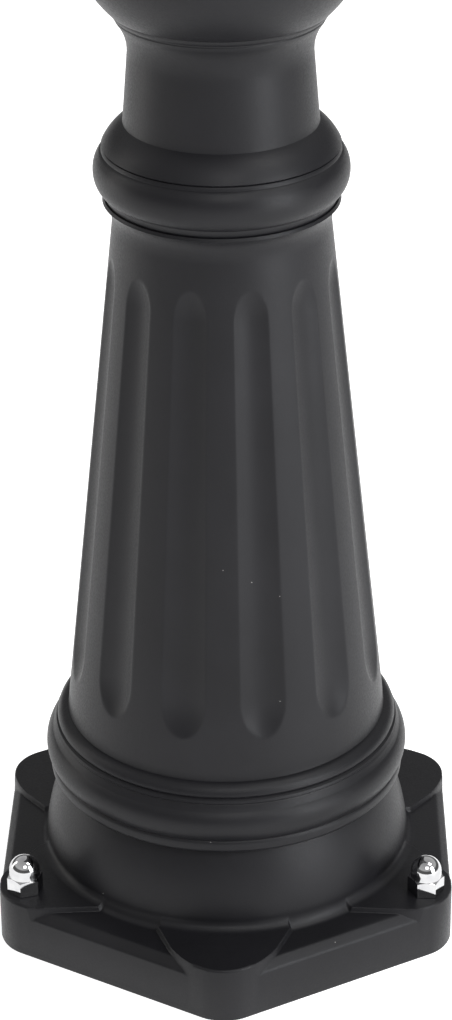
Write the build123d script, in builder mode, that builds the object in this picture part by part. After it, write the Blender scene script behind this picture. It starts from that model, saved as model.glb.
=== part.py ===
"""Two-dial street clock on a hollow cast pedestal.

Millimetres, +Z up, origin at the centre of the foot's underside.
The front dial faces -Y. The rear dial, its door and its movement are the
front ones turned half round the post's axis.
"""
import os
from math import acos, atan, cos, degrees, pi, radians, sin, sqrt, tan

from build123d import *

os.makedirs("parts", exist_ok=True)

# ---------------------------------------------------------------- driving dimensions
# Hexagonal foot, one corner towards -Y.
FOOT_ACROSS_FLATS = 258
FOOT_EDGE_Z = 26.5  # top of the upright edge between two pads
POCKET_FLOOR_Z = 31.2
PAD_TOP_Z = 34
FOOT_CORNER_R = 25
BEVEL_RUN = 5
CAVITY_R = 100  # round cavity under the foot
ANCHOR_COUNT = 3
ANCHOR_PCD = 263
ANCHOR_HOLE_R = 6.5

# M12 cap nut.
NUT_ACROSS_FLATS = 18
NUT_HEX_HEIGHT = 10
NUT_HEIGHT = 22
NUT_DOME_R = 8.75
NUT_BORE_R = 6.05
NUT_BORE_DEPTH = 16
# Each nut's place on the anchor circle, and how far it has been turned in tightening, in degrees.
NUT_TURNS = ((90, 0), (210, -11), (330, 30))

# Heights of the joints between the castings.
FOOT_TOP_Z = 89.2
SHAFT_TOP_Z = 432.5
NECK_TOP_Z = 532.5
CUP_TOP_Z = 605
CAPITAL_FOOT_Z = 1480
CAPITAL_TOP_Z = 1600

# Tapered, fluted shaft.
SHAFT_FOOT_Z = 128.8
SHAFT_FOOT_R = 89.7
SHAFT_HEAD_Z = 419
SHAFT_HEAD_R = 58.5
SHAFT_WALL = 9
FLUTE_COUNT = 12
FLUTE_FIRST_ANGLE = 15
FLUTE_LOW_Z = 159
FLUTE_HIGH_Z = 392
FLUTE_HALF_ANGLE = 8.5
FLUTE_DEPTH_RATIO = 0.045  # flute depth over shaft radius

# Core tube and pole.
CORE_R = 24.15
CORE_WALL = 3.2
CORE_HOLE_R = 25.5
CORE_FOOT_Z = 30
CORE_TOP_Z = 1588
FLANGE_THICKNESS = 8
FLANGE_SCREW_PCD = 140
POLE_R = 38
POLE_WALL = 5
POLE_SOCKET_R = 38.4
POLE_FOOT_Z = 590
POLE_TOP_Z = 1530
RING_TOP_Z = 623

# Clock head.
HEAD_Z = 1905
CASE_R = 222
CASE_HALF_DEPTH = 62
CASE_WALL = 3
BEAD_R = 226
DIAL_SEAT_R = 184
DIAL_R = 203
DIAL_THICKNESS = 2
DOOR_GAP = 0.4
DOOR_RECESS_R = 209
DOOR_OPENING_R = 189
GLASS_R = 196
GLASS_THICKNESS = 3
HINGE_X = -236
HINGE_PIN_R = 3
HINGE_BORE_R = 3.05
HINGE_BARREL_R = 6
HINGE_HALF_LENGTH = 46
KNUCKLE_HALF = 21.7
KNOB_R = 216

# Scroll brackets: a bow from the capital's edge that meets the case along its tangent.
SCROLL_WIDTH = 14
SCROLL_THICKNESS = 7
SCROLL_LOW_Z = 1576
CAPITAL_EDGE_R = 73
SCROLL_SCREW_R = 3
SCROLL_SEAT = 9  # straight stretch past each screw

# Going train, one behind each dial. Offsets are from the dial's centre.
GEAR_MODULE = 1
PRESSURE_ANGLE = 20
ADDENDUM = 0.8
DEDENDUM = 1.3
TOOTH_THINNING = 0.2
CENTER_TEETH = 60
MOTOR_TEETH = 15
CANNON_TEETH = 15
MINUTE_TEETH = 45
MINUTE_PINION_TEETH = 12
HOUR_TEETH = 48
MOTOR_OFFSET = GEAR_MODULE * (CENTER_TEETH + MOTOR_TEETH) / 2
MINUTE_OFFSET = GEAR_MODULE * (CANNON_TEETH + MINUTE_TEETH) / 2
MINUTE_ANGLE = 135
RUNNING_CLEARANCE = 0.06
PLATE_SIZE = 120
PLATE_THICKNESS = 3
BACK_PLATE_T = -33
ARBOR_R = 5
HOUR_PIPE_R = 7
BUSHING_R = 9
STUD_R = 2.5
HOUR_HAND_ANGLE = 305  # clockwise from 12: ten past ten
MINUTE_HAND_ANGLE = 60

SCROLL_BAR_R = CASE_R + 0.05 + SCROLL_THICKNESS / 2
SCROLL_LOW_X = CAPITAL_EDGE_R + 0.05 + SCROLL_THICKNESS / 2
# The angle, from straight down, at which the bow meets the case.
SCROLL_ANGLE = 90 - 2 * degrees(atan((SCROLL_BAR_R - SCROLL_LOW_X) / (HEAD_Z - SCROLL_LOW_Z)))
SCROLL_HIGH_X = SCROLL_BAR_R * sin(radians(SCROLL_ANGLE))
SCROLL_HIGH_Z = HEAD_Z - SCROLL_BAR_R * cos(radians(SCROLL_ANGLE))
SCROLL_BOW_R = (HEAD_Z - SCROLL_LOW_Z) / cos(radians(SCROLL_ANGLE)) - SCROLL_BAR_R

POST_AXIS = Axis.Z
DIAL_AXIS = Axis((0, 0, HEAD_Z), (0, 1, 0))
# Section of the head through its axis: local x is the radius, local y the distance out
# from the front end of the case.
HEAD_SECTION = Plane(origin=(0, -CASE_HALF_DEPTH, HEAD_Z), x_dir=(1, 0, 0), z_dir=(0, 0, -1))


def dial_plane(distance):
    """The plane parallel to the front dial, at this distance out from the case's front end."""
    return Plane(origin=(0, -CASE_HALF_DEPTH - distance, HEAD_Z), x_dir=(1, 0, 0), z_dir=(0, -1, 0))


def polar(radius, angle):
    """The point at this radius and angle in degrees."""
    return (radius * cos(radians(angle)), radius * sin(radians(angle)))


def shaft_radius(z):
    """Outer radius of the tapered shaft at this height."""
    fall = (z - SHAFT_FOOT_Z) / (SHAFT_HEAD_Z - SHAFT_FOOT_Z)
    return SHAFT_FOOT_R + (SHAFT_HEAD_R - SHAFT_FOOT_R) * fall


def drum_height(x):
    """Height of the case's outer surface below the dial's centre, at this x."""
    return HEAD_Z - sqrt(CASE_R**2 - x**2)


def dial_hole(radius, depth, points, start=0):
    """Cut round holes of this depth in the open part, inwards from the plane at start."""
    with BuildSketch(dial_plane(start)) as holes:
        with Locations(*points):
            Circle(radius)
    extrude(holes.sketch, amount=-depth, mode=Mode.SUBTRACT)


def scroll_plane(side, end):
    """The plane at one end of a scroll's bow, facing what the scroll is screwed to."""
    if end == "low":
        return Plane(origin=(side * SCROLL_LOW_X, 0, SCROLL_LOW_Z), z_dir=(-side, 0, 0))
    inward = (-side * sin(radians(SCROLL_ANGLE)), 0, cos(radians(SCROLL_ANGLE)))
    return Plane(origin=(side * SCROLL_HIGH_X, 0, SCROLL_HIGH_Z), z_dir=inward)


def save(part, name):
    """Label one piece and write it."""
    part.label = name
    export_step(part, f"parts/{name}.step")


def save_pair(part, name):
    """Write the front piece and its twin behind the post."""
    save(part, f"{name}_front")
    save(part.rotate(POST_AXIS, 180), f"{name}_rear")


def save_with_twin(part, name):
    """Write one node that holds the front group and its twin behind the post."""
    save(Compound(children=[part, part.rotate(POST_AXIS, 180)]), name)


def wheel_face(teeth, turn):
    """Draw a spur wheel in the open sketch, with the middle of a tooth at the angle turn."""
    pitch_r = GEAR_MODULE * teeth / 2
    base_r = pitch_r * cos(radians(PRESSURE_ANGLE))
    root_r = pitch_r - DEDENDUM
    tip_r = pitch_r + ADDENDUM

    def involute(angle):
        return tan(angle) - angle

    pitch_half = pi / (2 * teeth) - TOOTH_THINNING / 2 / pitch_r
    base_half = pitch_half + involute(radians(PRESSURE_ANGLE))
    tip_half = degrees(base_half - involute(acos(base_r / tip_r)))
    foot_half = degrees(base_half - involute(acos(min(1, base_r / root_r))))
    outline = [
        polar(root_r - 0.2, -foot_half),
        polar(tip_r, -tip_half),
        polar(tip_r, tip_half),
        polar(root_r - 0.2, foot_half),
    ]
    Circle(root_r)
    with PolarLocations(0, teeth, start_angle=turn):
        Polygon(*outline, align=None)


# ---------------------------------------------------------------- foot casting
with BuildPart() as base_casting:
    with BuildSketch() as foot_outline:
        RegularPolygon(FOOT_ACROSS_FLATS / 2, 6, major_radius=False, rotation=30)
        fillet(foot_outline.vertices(), FOOT_CORNER_R)
    extrude(amount=FOOT_EDGE_Z)
    bevel_rise = POCKET_FLOOR_Z - FOOT_EDGE_Z
    with BuildSketch(Plane.XY.offset(FOOT_EDGE_Z)):
        add(foot_outline.sketch)
    extrude(amount=bevel_rise, taper=degrees(acos(bevel_rise / sqrt(bevel_rise**2 + BEVEL_RUN**2))))
    with BuildSketch(Plane.XY.offset(FOOT_EDGE_Z)) as pads:
        # The three pads that carry the anchors are wider than the three between them.
        with PolarLocations(0, ANCHOR_COUNT, start_angle=30):
            Polygon((80, -42), (150, -17.5), (150, 17.5), (80, 42), align=None)
        with PolarLocations(0, ANCHOR_COUNT, start_angle=90):
            Polygon((80, -48.8), (150, -13.8), (150, 13.8), (80, 48.8), align=None)
        add(foot_outline.sketch, mode=Mode.INTERSECT)
    extrude(amount=PAD_TOP_Z - FOOT_EDGE_Z)
    with BuildSketch(Plane.XZ):
        with BuildLine():
            skirt = ThreePointArc((106.5, PAD_TOP_Z - 6), (101.3, 61.4), (92.3, 82.9))
            Polyline(
                skirt @ 1,
                (101.6, 83.4),
                (103.1, 84.8),
                (103.1, 88.2),
                (102, FOOT_TOP_Z),
                (0, FOOT_TOP_Z),
                (0, PAD_TOP_Z - 6),
                skirt @ 0,
            )
        make_face()
    revolve(axis=POST_AXIS)
    # The hollow inside, then three bosses for the core tube's flange.
    with BuildSketch(Plane.XZ):
        with BuildLine():
            Polyline((0, 0), (CAVITY_R, 0), (CAVITY_R, 30), (84, 80), (84, FOOT_TOP_Z), (0, FOOT_TOP_Z), (0, 0))
        make_face()
    revolve(axis=POST_AXIS, mode=Mode.SUBTRACT)
    with BuildSketch(Plane.XY.offset(CORE_FOOT_Z + FLANGE_THICKNESS)):
        with PolarLocations(FLANGE_SCREW_PCD / 2, 3, start_angle=30):
            Circle(12)
            with Locations((14.5, 0)):
                Rectangle(31, 16)
    extrude(amount=20)
    with BuildSketch(Plane.XY.offset(CORE_FOOT_Z + FLANGE_THICKNESS)):
        with PolarLocations(FLANGE_SCREW_PCD / 2, 3, start_angle=30):
            Circle(5.05)
    extrude(amount=17, mode=Mode.SUBTRACT)
    with BuildSketch():
        with PolarLocations(ANCHOR_PCD / 2, ANCHOR_COUNT, start_angle=90):
            Circle(ANCHOR_HOLE_R)
    extrude(amount=PAD_TOP_Z, mode=Mode.SUBTRACT)
save(base_casting.part, "base_casting")

# ---------------------------------------------------------------- cap nuts on the anchors
with BuildPart() as cap_nuts:
    with BuildSketch(Plane.XY.offset(PAD_TOP_Z)):
        for angle, turn in NUT_TURNS:
            with PolarLocations(ANCHOR_PCD / 2, 1, start_angle=angle):
                RegularPolygon(NUT_ACROSS_FLATS / 2, 6, major_radius=False, rotation=turn)
    extrude(amount=NUT_HEX_HEIGHT)
    with BuildSketch(Plane.XY.offset(PAD_TOP_Z)):
        with PolarLocations(ANCHOR_PCD / 2, ANCHOR_COUNT, start_angle=90):
            Circle(NUT_DOME_R)
    extrude(amount=NUT_HEIGHT - NUT_DOME_R)
    with Locations((0, 0, PAD_TOP_Z + NUT_HEIGHT - NUT_DOME_R)):
        with PolarLocations(ANCHOR_PCD / 2, ANCHOR_COUNT, start_angle=90):
            Sphere(NUT_DOME_R)
    with BuildSketch(Plane.XY.offset(PAD_TOP_Z)):
        with PolarLocations(ANCHOR_PCD / 2, ANCHOR_COUNT, start_angle=90):
            Circle(NUT_BORE_R)
    extrude(amount=NUT_BORE_DEPTH, mode=Mode.SUBTRACT)
save(cap_nuts.part, "cap_nuts")

# ---------------------------------------------------------------- fluted shaft casting
flute_low_r = shaft_radius(FLUTE_LOW_Z)
flute_high_r = shaft_radius(FLUTE_HIGH_Z)
flute_half_chord = sin(radians(FLUTE_HALF_ANGLE))
# The cutter is a cone with round ends that shares the shaft's apex, so the flute narrows with the
# shaft. Its radius and offset give the flute's half chord and depth.
cutter_ratio = (flute_half_chord**2 + FLUTE_DEPTH_RATIO**2) / (2 * FLUTE_DEPTH_RATIO)
cutter_offset = 1 + cutter_ratio - FLUTE_DEPTH_RATIO
cutter_foot = Vector(flute_low_r * cutter_offset, 0, FLUTE_LOW_Z)
cutter_head = Vector(flute_high_r * cutter_offset, 0, FLUTE_HIGH_Z)
with BuildPart(Plane(origin=cutter_foot, z_dir=cutter_head - cutter_foot)) as flute_cutter:
    cutter_length = (cutter_head - cutter_foot).length
    Cone(
        flute_low_r * cutter_ratio,
        flute_high_r * cutter_ratio,
        cutter_length,
        align=(Align.CENTER, Align.CENTER, Align.MIN),
    )
    Sphere(flute_low_r * cutter_ratio)
    with Locations((0, 0, cutter_length)):
        Sphere(flute_high_r * cutter_ratio)

with BuildPart() as shaft_casting:
    with BuildSketch(Plane.XZ):
        with BuildLine():
            torus = ThreePointArc((100.4, FOOT_TOP_Z + 0.1), (103.4, 97.7), (98.4, 108.4))
            groove = Polyline(torus @ 1, (96.5, 110.6), (97.4, 112.1))
            shoulder = ThreePointArc(groove @ 1, (95.3, 118.7), (90.4, 121.9))
            flank = Polyline(
                shoulder @ 1,
                (SHAFT_FOOT_R, SHAFT_FOOT_Z),
                (SHAFT_HEAD_R, SHAFT_HEAD_Z),
            )
            bead = ThreePointArc(flank @ 1, (59.9, 425.9), (63.4, 430.8))
            Polyline(
                bead @ 1,
                (62.6, SHAFT_TOP_Z),
                (SHAFT_HEAD_R - SHAFT_WALL, SHAFT_TOP_Z),
                (SHAFT_HEAD_R - SHAFT_WALL, SHAFT_HEAD_Z),
                (SHAFT_FOOT_R - SHAFT_WALL, SHAFT_FOOT_Z),
                (84, 112),
                (84, FOOT_TOP_Z),
                (99.7, FOOT_TOP_Z),
                torus @ 0,
            )
        make_face()
    revolve(axis=POST_AXIS)
    with PolarLocations(0, FLUTE_COUNT, start_angle=FLUTE_FIRST_ANGLE):
        add(flute_cutter.part, mode=Mode.SUBTRACT)
save(shaft_casting.part, "shaft_casting")

# ---------------------------------------------------------------- neck casting
with BuildPart() as neck_casting:
    with BuildSketch(Plane.XZ):
        with BuildLine():
            torus = ThreePointArc((62.8, SHAFT_TOP_Z + 1.4), (68.1, 447.5), (64.4, 457.7))
            groove = Polyline(torus @ 1, (63, 459), (63.6, 460.6))
            ovolo = ThreePointArc(groove @ 1, (59.2, 468.7), (52.3, 474.8))
            waist = ThreePointArc(ovolo @ 1, (50, 497.7), (48.7, 512.5))
            flare = ThreePointArc(waist @ 1, (49.9, 521.6), (53.8, 529.6))
            Polyline(
                flare @ 1,
                (54.6, NECK_TOP_Z),
                (41, NECK_TOP_Z),
                (41, 470),
                (50, SHAFT_TOP_Z + 10),
                (50, SHAFT_TOP_Z),
                (62, SHAFT_TOP_Z),
                torus @ 0,
            )
        make_face()
    revolve(axis=POST_AXIS)
save(neck_casting.part, "neck_casting")

# ---------------------------------------------------------------- cup casting
with BuildPart() as cup_casting:
    with BuildSketch(Plane.XZ):
        with BuildLine():
            flare = Polyline((55, NECK_TOP_Z), (56.4, 533.8), (57.5, 536.2), (58.6, 536.8))
            bowl = ThreePointArc(flare @ 1, (68.2, 548.6), (77.5, 568.5))
            rim = ThreePointArc(bowl @ 1, (79.5, 571.6), (77.5, 574.6))
            step = Line(rim @ 1, (70.2, 576.7))
            cove = ThreePointArc(step @ 1, (55.1, 584.8), (48, CUP_TOP_Z - 4))
            Polyline(
                cove @ 1,
                (48, CUP_TOP_Z),
                (POLE_SOCKET_R, CUP_TOP_Z),
                (POLE_SOCKET_R, POLE_FOOT_Z),
                (CORE_HOLE_R, POLE_FOOT_Z),
                (CORE_HOLE_R, POLE_FOOT_Z - 10),
                (45, POLE_FOOT_Z - 12),
                (60, 560),
                (45, 540),
                (45, NECK_TOP_Z),
                flare @ 0,
            )
        make_face()
    revolve(axis=POST_AXIS)
save(cup_casting.part, "cup_casting")

# ---------------------------------------------------------------- ring and fluted pole
with BuildPart() as pole_ring:
    with BuildSketch(Plane.XZ):
        with BuildLine():
            lower = ThreePointArc((45, CUP_TOP_Z), (48.5, 610), (45, 615))
            upper = ThreePointArc(lower @ 1, (44.2, 619.5), (40.5, RING_TOP_Z))
            Polyline(upper @ 1, (POLE_SOCKET_R, RING_TOP_Z), (POLE_SOCKET_R, CUP_TOP_Z), lower @ 0)
        make_face()
    revolve(axis=POST_AXIS)
save(pole_ring.part, "pole_ring")

with BuildPart() as pole_tube:
    with BuildSketch(Plane.XY.offset(POLE_FOOT_Z)):
        Circle(POLE_R)
        with PolarLocations(POLE_R + 2.6, FLUTE_COUNT, start_angle=FLUTE_FIRST_ANGLE):
            Circle(4.8, mode=Mode.SUBTRACT)
        Circle(POLE_R - POLE_WALL, mode=Mode.SUBTRACT)
    extrude(amount=POLE_TOP_Z - POLE_FOOT_Z)
save(pole_tube.part, "pole_tube")

# ---------------------------------------------------------------- capital
NUT_POCKET_R = 39
NUT_POCKET_Z = 1565
SADDLE_SCREW_PCD = 98
with BuildPart() as capital_casting:
    with BuildSketch(Plane.XZ):
        with BuildLine():
            collar = ThreePointArc((43, CAPITAL_FOOT_Z), (48, 1486), (44, 1492))
            neck = ThreePointArc(collar @ 1, (42.6, 1500), (44, 1508))
            astragal = ThreePointArc(neck @ 1, (49, 1512), (44.5, 1516))
            bell = ThreePointArc(astragal @ 1, (51, 1546), (66, 1564))
            edge = Polyline(bell @ 1, (66, 1568), (CAPITAL_EDGE_R - 1, 1569))
            abacus = Polyline(
                edge @ 1,
                (CAPITAL_EDGE_R, 1570),
                (CAPITAL_EDGE_R, 1582),
                (CAPITAL_EDGE_R - 1, 1583),
            )
            Polyline(
                abacus @ 1,
                (64, 1584),
                (62, CAPITAL_TOP_Z),
                (NUT_POCKET_R, CAPITAL_TOP_Z),
                (NUT_POCKET_R, NUT_POCKET_Z),
                (CORE_HOLE_R, NUT_POCKET_Z),
                (CORE_HOLE_R, POLE_TOP_Z),
                (POLE_SOCKET_R, POLE_TOP_Z),
                (POLE_SOCKET_R, CAPITAL_FOOT_Z),
                collar @ 0,
            )
        make_face()
    revolve(axis=POST_AXIS)
    with BuildSketch(Plane.XY.offset(CAPITAL_TOP_Z)):
        with PolarLocations(SADDLE_SCREW_PCD / 2, 4, start_angle=45):
            Circle(4.05)
    extrude(amount=-22, mode=Mode.SUBTRACT)
    for side in (1, -1):
        with BuildSketch(scroll_plane(side, "low")):
            Circle(SCROLL_SCREW_R + 0.05)
        extrude(amount=24, mode=Mode.SUBTRACT)
save(capital_casting.part, "capital_casting")

# ---------------------------------------------------------------- core tube, its flange and nut
with BuildPart() as core_tube:
    with BuildSketch(Plane.XY.offset(CORE_FOOT_Z)):
        Circle(CORE_R)
        Circle(CORE_R - CORE_WALL, mode=Mode.SUBTRACT)
    extrude(amount=CORE_TOP_Z - CORE_FOOT_Z)
save(core_tube.part, "core_tube")

with BuildPart() as tube_flange:
    with BuildSketch(Plane.XY.offset(CORE_FOOT_Z)):
        Circle(80)
    extrude(amount=FLANGE_THICKNESS)
    with BuildSketch(Plane.XY.offset(CORE_FOOT_Z)):
        Circle(32)
    extrude(amount=28)
    with BuildSketch(Plane.XY.offset(CORE_FOOT_Z)):
        Circle(CORE_R + 0.05)
        with PolarLocations(FLANGE_SCREW_PCD / 2, 3, start_angle=30):
            Circle(5.5)
    extrude(amount=28, mode=Mode.SUBTRACT)
save(tube_flange.part, "tube_flange")

with BuildPart() as flange_screws:
    with BuildSketch(Plane.XY.offset(CORE_FOOT_Z - 6.4)):
        with PolarLocations(FLANGE_SCREW_PCD / 2, 3, start_angle=30):
            RegularPolygon(8.5, 6, major_radius=False)
    extrude(amount=6.4)
    with BuildSketch(Plane.XY.offset(CORE_FOOT_Z)):
        with PolarLocations(FLANGE_SCREW_PCD / 2, 3, start_angle=30):
            Circle(5)
    extrude(amount=23)
save(flange_screws.part, "flange_screws")

with BuildPart() as stack_nut:
    with BuildSketch(Plane.XY.offset(NUT_POCKET_Z)):
        RegularPolygon(32.5, 6, major_radius=False)
        Circle(CORE_R + 0.05, mode=Mode.SUBTRACT)
    extrude(amount=14)
save(stack_nut.part, "stack_nut")

# ---------------------------------------------------------------- saddle under the drum
SADDLE_FLANGE_TOP_Z = CAPITAL_TOP_Z + 11
SADDLE_HALF_X = 76
SADDLE_HALF_Y = 50
SADDLE_RIM_Z = drum_height(SADDLE_HALF_X)
CASE_SCREW_X = 45
CASE_SCREW_Y = 28
CASE_SCREW_SEAT_Z = 1693
SCROLL_SCREW_Z = 1650
with BuildPart() as saddle_casting:
    with BuildSketch(Plane.XY.offset(CAPITAL_TOP_Z)):
        Circle(60)
    extrude(amount=SADDLE_FLANGE_TOP_Z - CAPITAL_TOP_Z)
    with BuildSketch(Plane.XY.offset(SADDLE_FLANGE_TOP_Z)):
        RectangleRounded(72, 72, 35)
    with BuildSketch(Plane.XY.offset(1652)):
        RectangleRounded(84, 76, 30)
    with BuildSketch(Plane.XY.offset(1682)):
        RectangleRounded(2 * SADDLE_HALF_X, 2 * SADDLE_HALF_Y, 20)
    loft(ruled=False)
    with BuildSketch(Plane.XY.offset(1682)):
        RectangleRounded(2 * SADDLE_HALF_X, 2 * SADDLE_HALF_Y, 20)
    extrude(amount=SADDLE_RIM_Z - 1682)
    with Locations(Location((0, 0, HEAD_Z), (90, 0, 0))):
        Cylinder(CASE_R + 0.05, 2 * CASE_HALF_DEPTH, mode=Mode.SUBTRACT)
    with BuildSketch(Plane.XY.offset(CAPITAL_TOP_Z)):
        Circle(24)
    extrude(amount=60, mode=Mode.SUBTRACT)
    with BuildSketch(Plane.XY.offset(CAPITAL_TOP_Z)):
        with PolarLocations(SADDLE_SCREW_PCD / 2, 4, start_angle=45):
            Circle(4.5)
    extrude(amount=30, mode=Mode.SUBTRACT)
    with BuildSketch(Plane.XY.offset(1668)):
        with GridLocations(2 * CASE_SCREW_X, 2 * CASE_SCREW_Y, 2, 2):
            Circle(4.05)
    extrude(amount=30, mode=Mode.SUBTRACT)
save(saddle_casting.part, "saddle_casting")

with BuildPart() as saddle_screws:
    with BuildSketch(Plane.XY.offset(SADDLE_FLANGE_TOP_Z)):
        with PolarLocations(SADDLE_SCREW_PCD / 2, 4, start_angle=45):
            RegularPolygon(6.5, 6, major_radius=False)
    extrude(amount=5.3)
    with BuildSketch(Plane.XY.offset(SADDLE_FLANGE_TOP_Z)):
        with PolarLocations(SADDLE_SCREW_PCD / 2, 4, start_angle=45):
            Circle(4)
    extrude(amount=-30)
save(saddle_screws.part, "saddle_screws")

# ---------------------------------------------------------------- drum case
# Pads for the screws that hold the case to the saddle, trimmed to the case's outer surface.
with BuildPart() as case_pads:
    with BuildSketch(Plane.XY.offset(CASE_SCREW_SEAT_Z)):
        with GridLocations(2 * CASE_SCREW_X, 2 * CASE_SCREW_Y, 2, 2):
            Circle(9)
    extrude(amount=-10)
    with Locations(Location((0, 0, HEAD_Z), (90, 0, 0))):
        Cylinder(CASE_R, 2 * CASE_HALF_DEPTH, mode=Mode.INTERSECT)

with BuildPart() as drum_case:
    with BuildSketch(HEAD_SECTION):
        with BuildLine():
            Polyline(
                (DIAL_SEAT_R, 0),
                (BEAD_R - 1.5, 0),
                (BEAD_R, -1.5),
                (BEAD_R, -6),
                (CASE_R, -9),
                (CASE_R, -CASE_HALF_DEPTH),
                (CASE_R - CASE_WALL, -CASE_HALF_DEPTH),
                (CASE_R - CASE_WALL, -4),
                (DIAL_SEAT_R, -4),
                (DIAL_SEAT_R, 0),
            )
        make_face()
    revolve(axis=DIAL_AXIS)
    mirror(about=Plane.XZ)
    add(case_pads.part)
    # Hinge lugs, one for each door, at opposite sides.
    for side in (1, -1):
        lug_x = side * (HINGE_X + 8)
        with BuildSketch(Plane.XY.offset(HEAD_Z - KNUCKLE_HALF)):
            with Locations((side * HINGE_X, -side * CASE_HALF_DEPTH)):
                Circle(HINGE_BARREL_R)
            with Locations((lug_x, side * (4 - CASE_HALF_DEPTH))):
                Rectangle(16, 8)
        extrude(amount=2 * KNUCKLE_HALF)
        with BuildSketch(Plane.XY.offset(HEAD_Z - KNUCKLE_HALF)):
            with Locations((side * HINGE_X, -side * CASE_HALF_DEPTH)):
                Circle(HINGE_BORE_R)
        extrude(amount=2 * KNUCKLE_HALF, mode=Mode.SUBTRACT)
    with BuildSketch(Plane.XY.offset(1680)):
        with GridLocations(2 * CASE_SCREW_X, 2 * CASE_SCREW_Y, 2, 2):
            Circle(4.5)
    extrude(amount=20, mode=Mode.SUBTRACT)
    with BuildSketch(Plane.XY.offset(HEAD_Z + CASE_R - 10)):
        Circle(5.5)
    extrude(amount=20, mode=Mode.SUBTRACT)
    for side in (1, -1):
        with BuildSketch(scroll_plane(side, "high")):
            Circle(SCROLL_SCREW_R + 0.05)
        extrude(amount=12, mode=Mode.SUBTRACT)
    # Pockets for the catch magnets and holes for the dial screws, at both ends.
    for side in (1, -1):
        seat = Plane(
            origin=(0, -side * CASE_HALF_DEPTH, HEAD_Z),
            x_dir=(side, 0, 0),
            z_dir=(0, side, 0),
        )
        with BuildSketch(seat):
            with Locations((KNOB_R, 0)):
                Circle(4.05)
        extrude(amount=3, mode=Mode.SUBTRACT)
        with BuildSketch(seat):
            with PolarLocations(193, 4, start_angle=45):
                Circle(2.05)
        extrude(amount=4, mode=Mode.SUBTRACT)
save(drum_case.part, "drum_case")

with BuildPart() as case_screws:
    with BuildSketch(Plane.XY.offset(CASE_SCREW_SEAT_Z)):
        with GridLocations(2 * CASE_SCREW_X, 2 * CASE_SCREW_Y, 2, 2):
            RegularPolygon(6.5, 6, major_radius=False)
    extrude(amount=5.3)
    with BuildSketch(Plane.XY.offset(CASE_SCREW_SEAT_Z)):
        with GridLocations(2 * CASE_SCREW_X, 2 * CASE_SCREW_Y, 2, 2):
            Circle(4)
    extrude(amount=-22)
save(case_screws.part, "case_screws")

# ---------------------------------------------------------------- finial
PLINTH_TOP_Z = 2162
FINIAL_TOP_Z = 2290
FINIAL_STUD_FOOT_Z = 2106
with BuildPart() as finial_base:
    with BuildSketch(Plane.XY.offset(2108)):
        RectangleRounded(110, 66, 14)
    with BuildSketch(Plane.XY.offset(2138)):
        RectangleRounded(76, 56, 20)
    with BuildSketch(Plane.XY.offset(2150)):
        RectangleRounded(44, 44, 21.5)
    loft()
    with BuildSketch(Plane.XY.offset(2150)):
        Circle(27)
    extrude(amount=PLINTH_TOP_Z - 2150)
    with Locations(Location((0, 0, HEAD_Z), (90, 0, 0))):
        Cylinder(CASE_R + 0.05, 2 * CASE_HALF_DEPTH, mode=Mode.SUBTRACT)
    with BuildSketch(Plane.XY.offset(2100)):
        Circle(5.1)
    extrude(amount=80, mode=Mode.SUBTRACT)
save(finial_base.part, "finial_base")

with BuildPart() as finial_spire:
    with BuildSketch(Plane.XZ):
        with BuildLine():
            foot = Polyline((0, PLINTH_TOP_Z), (22, PLINTH_TOP_Z), (22, 2166))
            cove = ThreePointArc(foot @ 1, (12, 2170), (8, 2179))
            ball = ThreePointArc(cove @ 1, (23, 2200), (9, 2220))
            disc = ThreePointArc(ball @ 1, (14, 2223), (9, 2226))
            bud = ThreePointArc(disc @ 1, (13, 2242), (6, 2262))
            Polyline(bud @ 1, (0, FINIAL_TOP_Z), foot @ 0)
        make_face()
    revolve(axis=POST_AXIS)
    with BuildSketch(Plane.XY.offset(PLINTH_TOP_Z)):
        Circle(5)
    extrude(amount=FINIAL_STUD_FOOT_Z - PLINTH_TOP_Z)
save(finial_spire.part, "finial_spire")

with BuildPart() as finial_nut:
    with BuildSketch(Plane.XY.offset(HEAD_Z + CASE_R - CASE_WALL - 9)):
        RegularPolygon(8.5, 6, major_radius=False)
        Circle(5.05, mode=Mode.SUBTRACT)
    extrude(amount=8)
save(finial_nut.part, "finial_nut")

# ---------------------------------------------------------------- scroll brackets
# One bar of tangent arcs: a volute at the capital, a long bow, a volute under the drum.
with BuildLine(Plane.XZ) as scroll_line:
    bow = JernArc(
        (SCROLL_HIGH_X, SCROLL_HIGH_Z),
        polar(1, 180 + SCROLL_ANGLE),
        SCROLL_BOW_R,
        90 - SCROLL_ANGLE,
    )
    low_seat = Line(bow @ 1, bow @ 1 + SCROLL_SEAT * (bow % 1))
    low_turn = JernArc(low_seat @ 1, bow % 1, 25, 190)
    low_eye = JernArc(low_turn @ 1, low_turn % 1, 14, 200)
    high_seat = Line(bow @ 0, bow @ 0 - SCROLL_SEAT * (bow % 0))
    high_turn = JernArc(high_seat @ 1, high_seat % 1, 22, -200)
    high_eye = JernArc(high_turn @ 1, high_turn % 1, 12, -190)
scroll_path = scroll_line.wire()
with BuildPart() as scroll_right:
    with BuildSketch(Plane(origin=scroll_path @ 0, x_dir=(0, 1, 0), z_dir=scroll_path % 0)):
        Rectangle(SCROLL_WIDTH, SCROLL_THICKNESS)
    sweep(path=scroll_path)
    for end in ("low", "high"):
        with BuildSketch(scroll_plane(1, end)):
            Circle(SCROLL_SCREW_R + 0.3)
        extrude(amount=SCROLL_THICKNESS, both=True, mode=Mode.SUBTRACT)
save(scroll_right.part, "scroll_right")
save(scroll_right.part.rotate(POST_AXIS, 180), "scroll_left")

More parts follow.
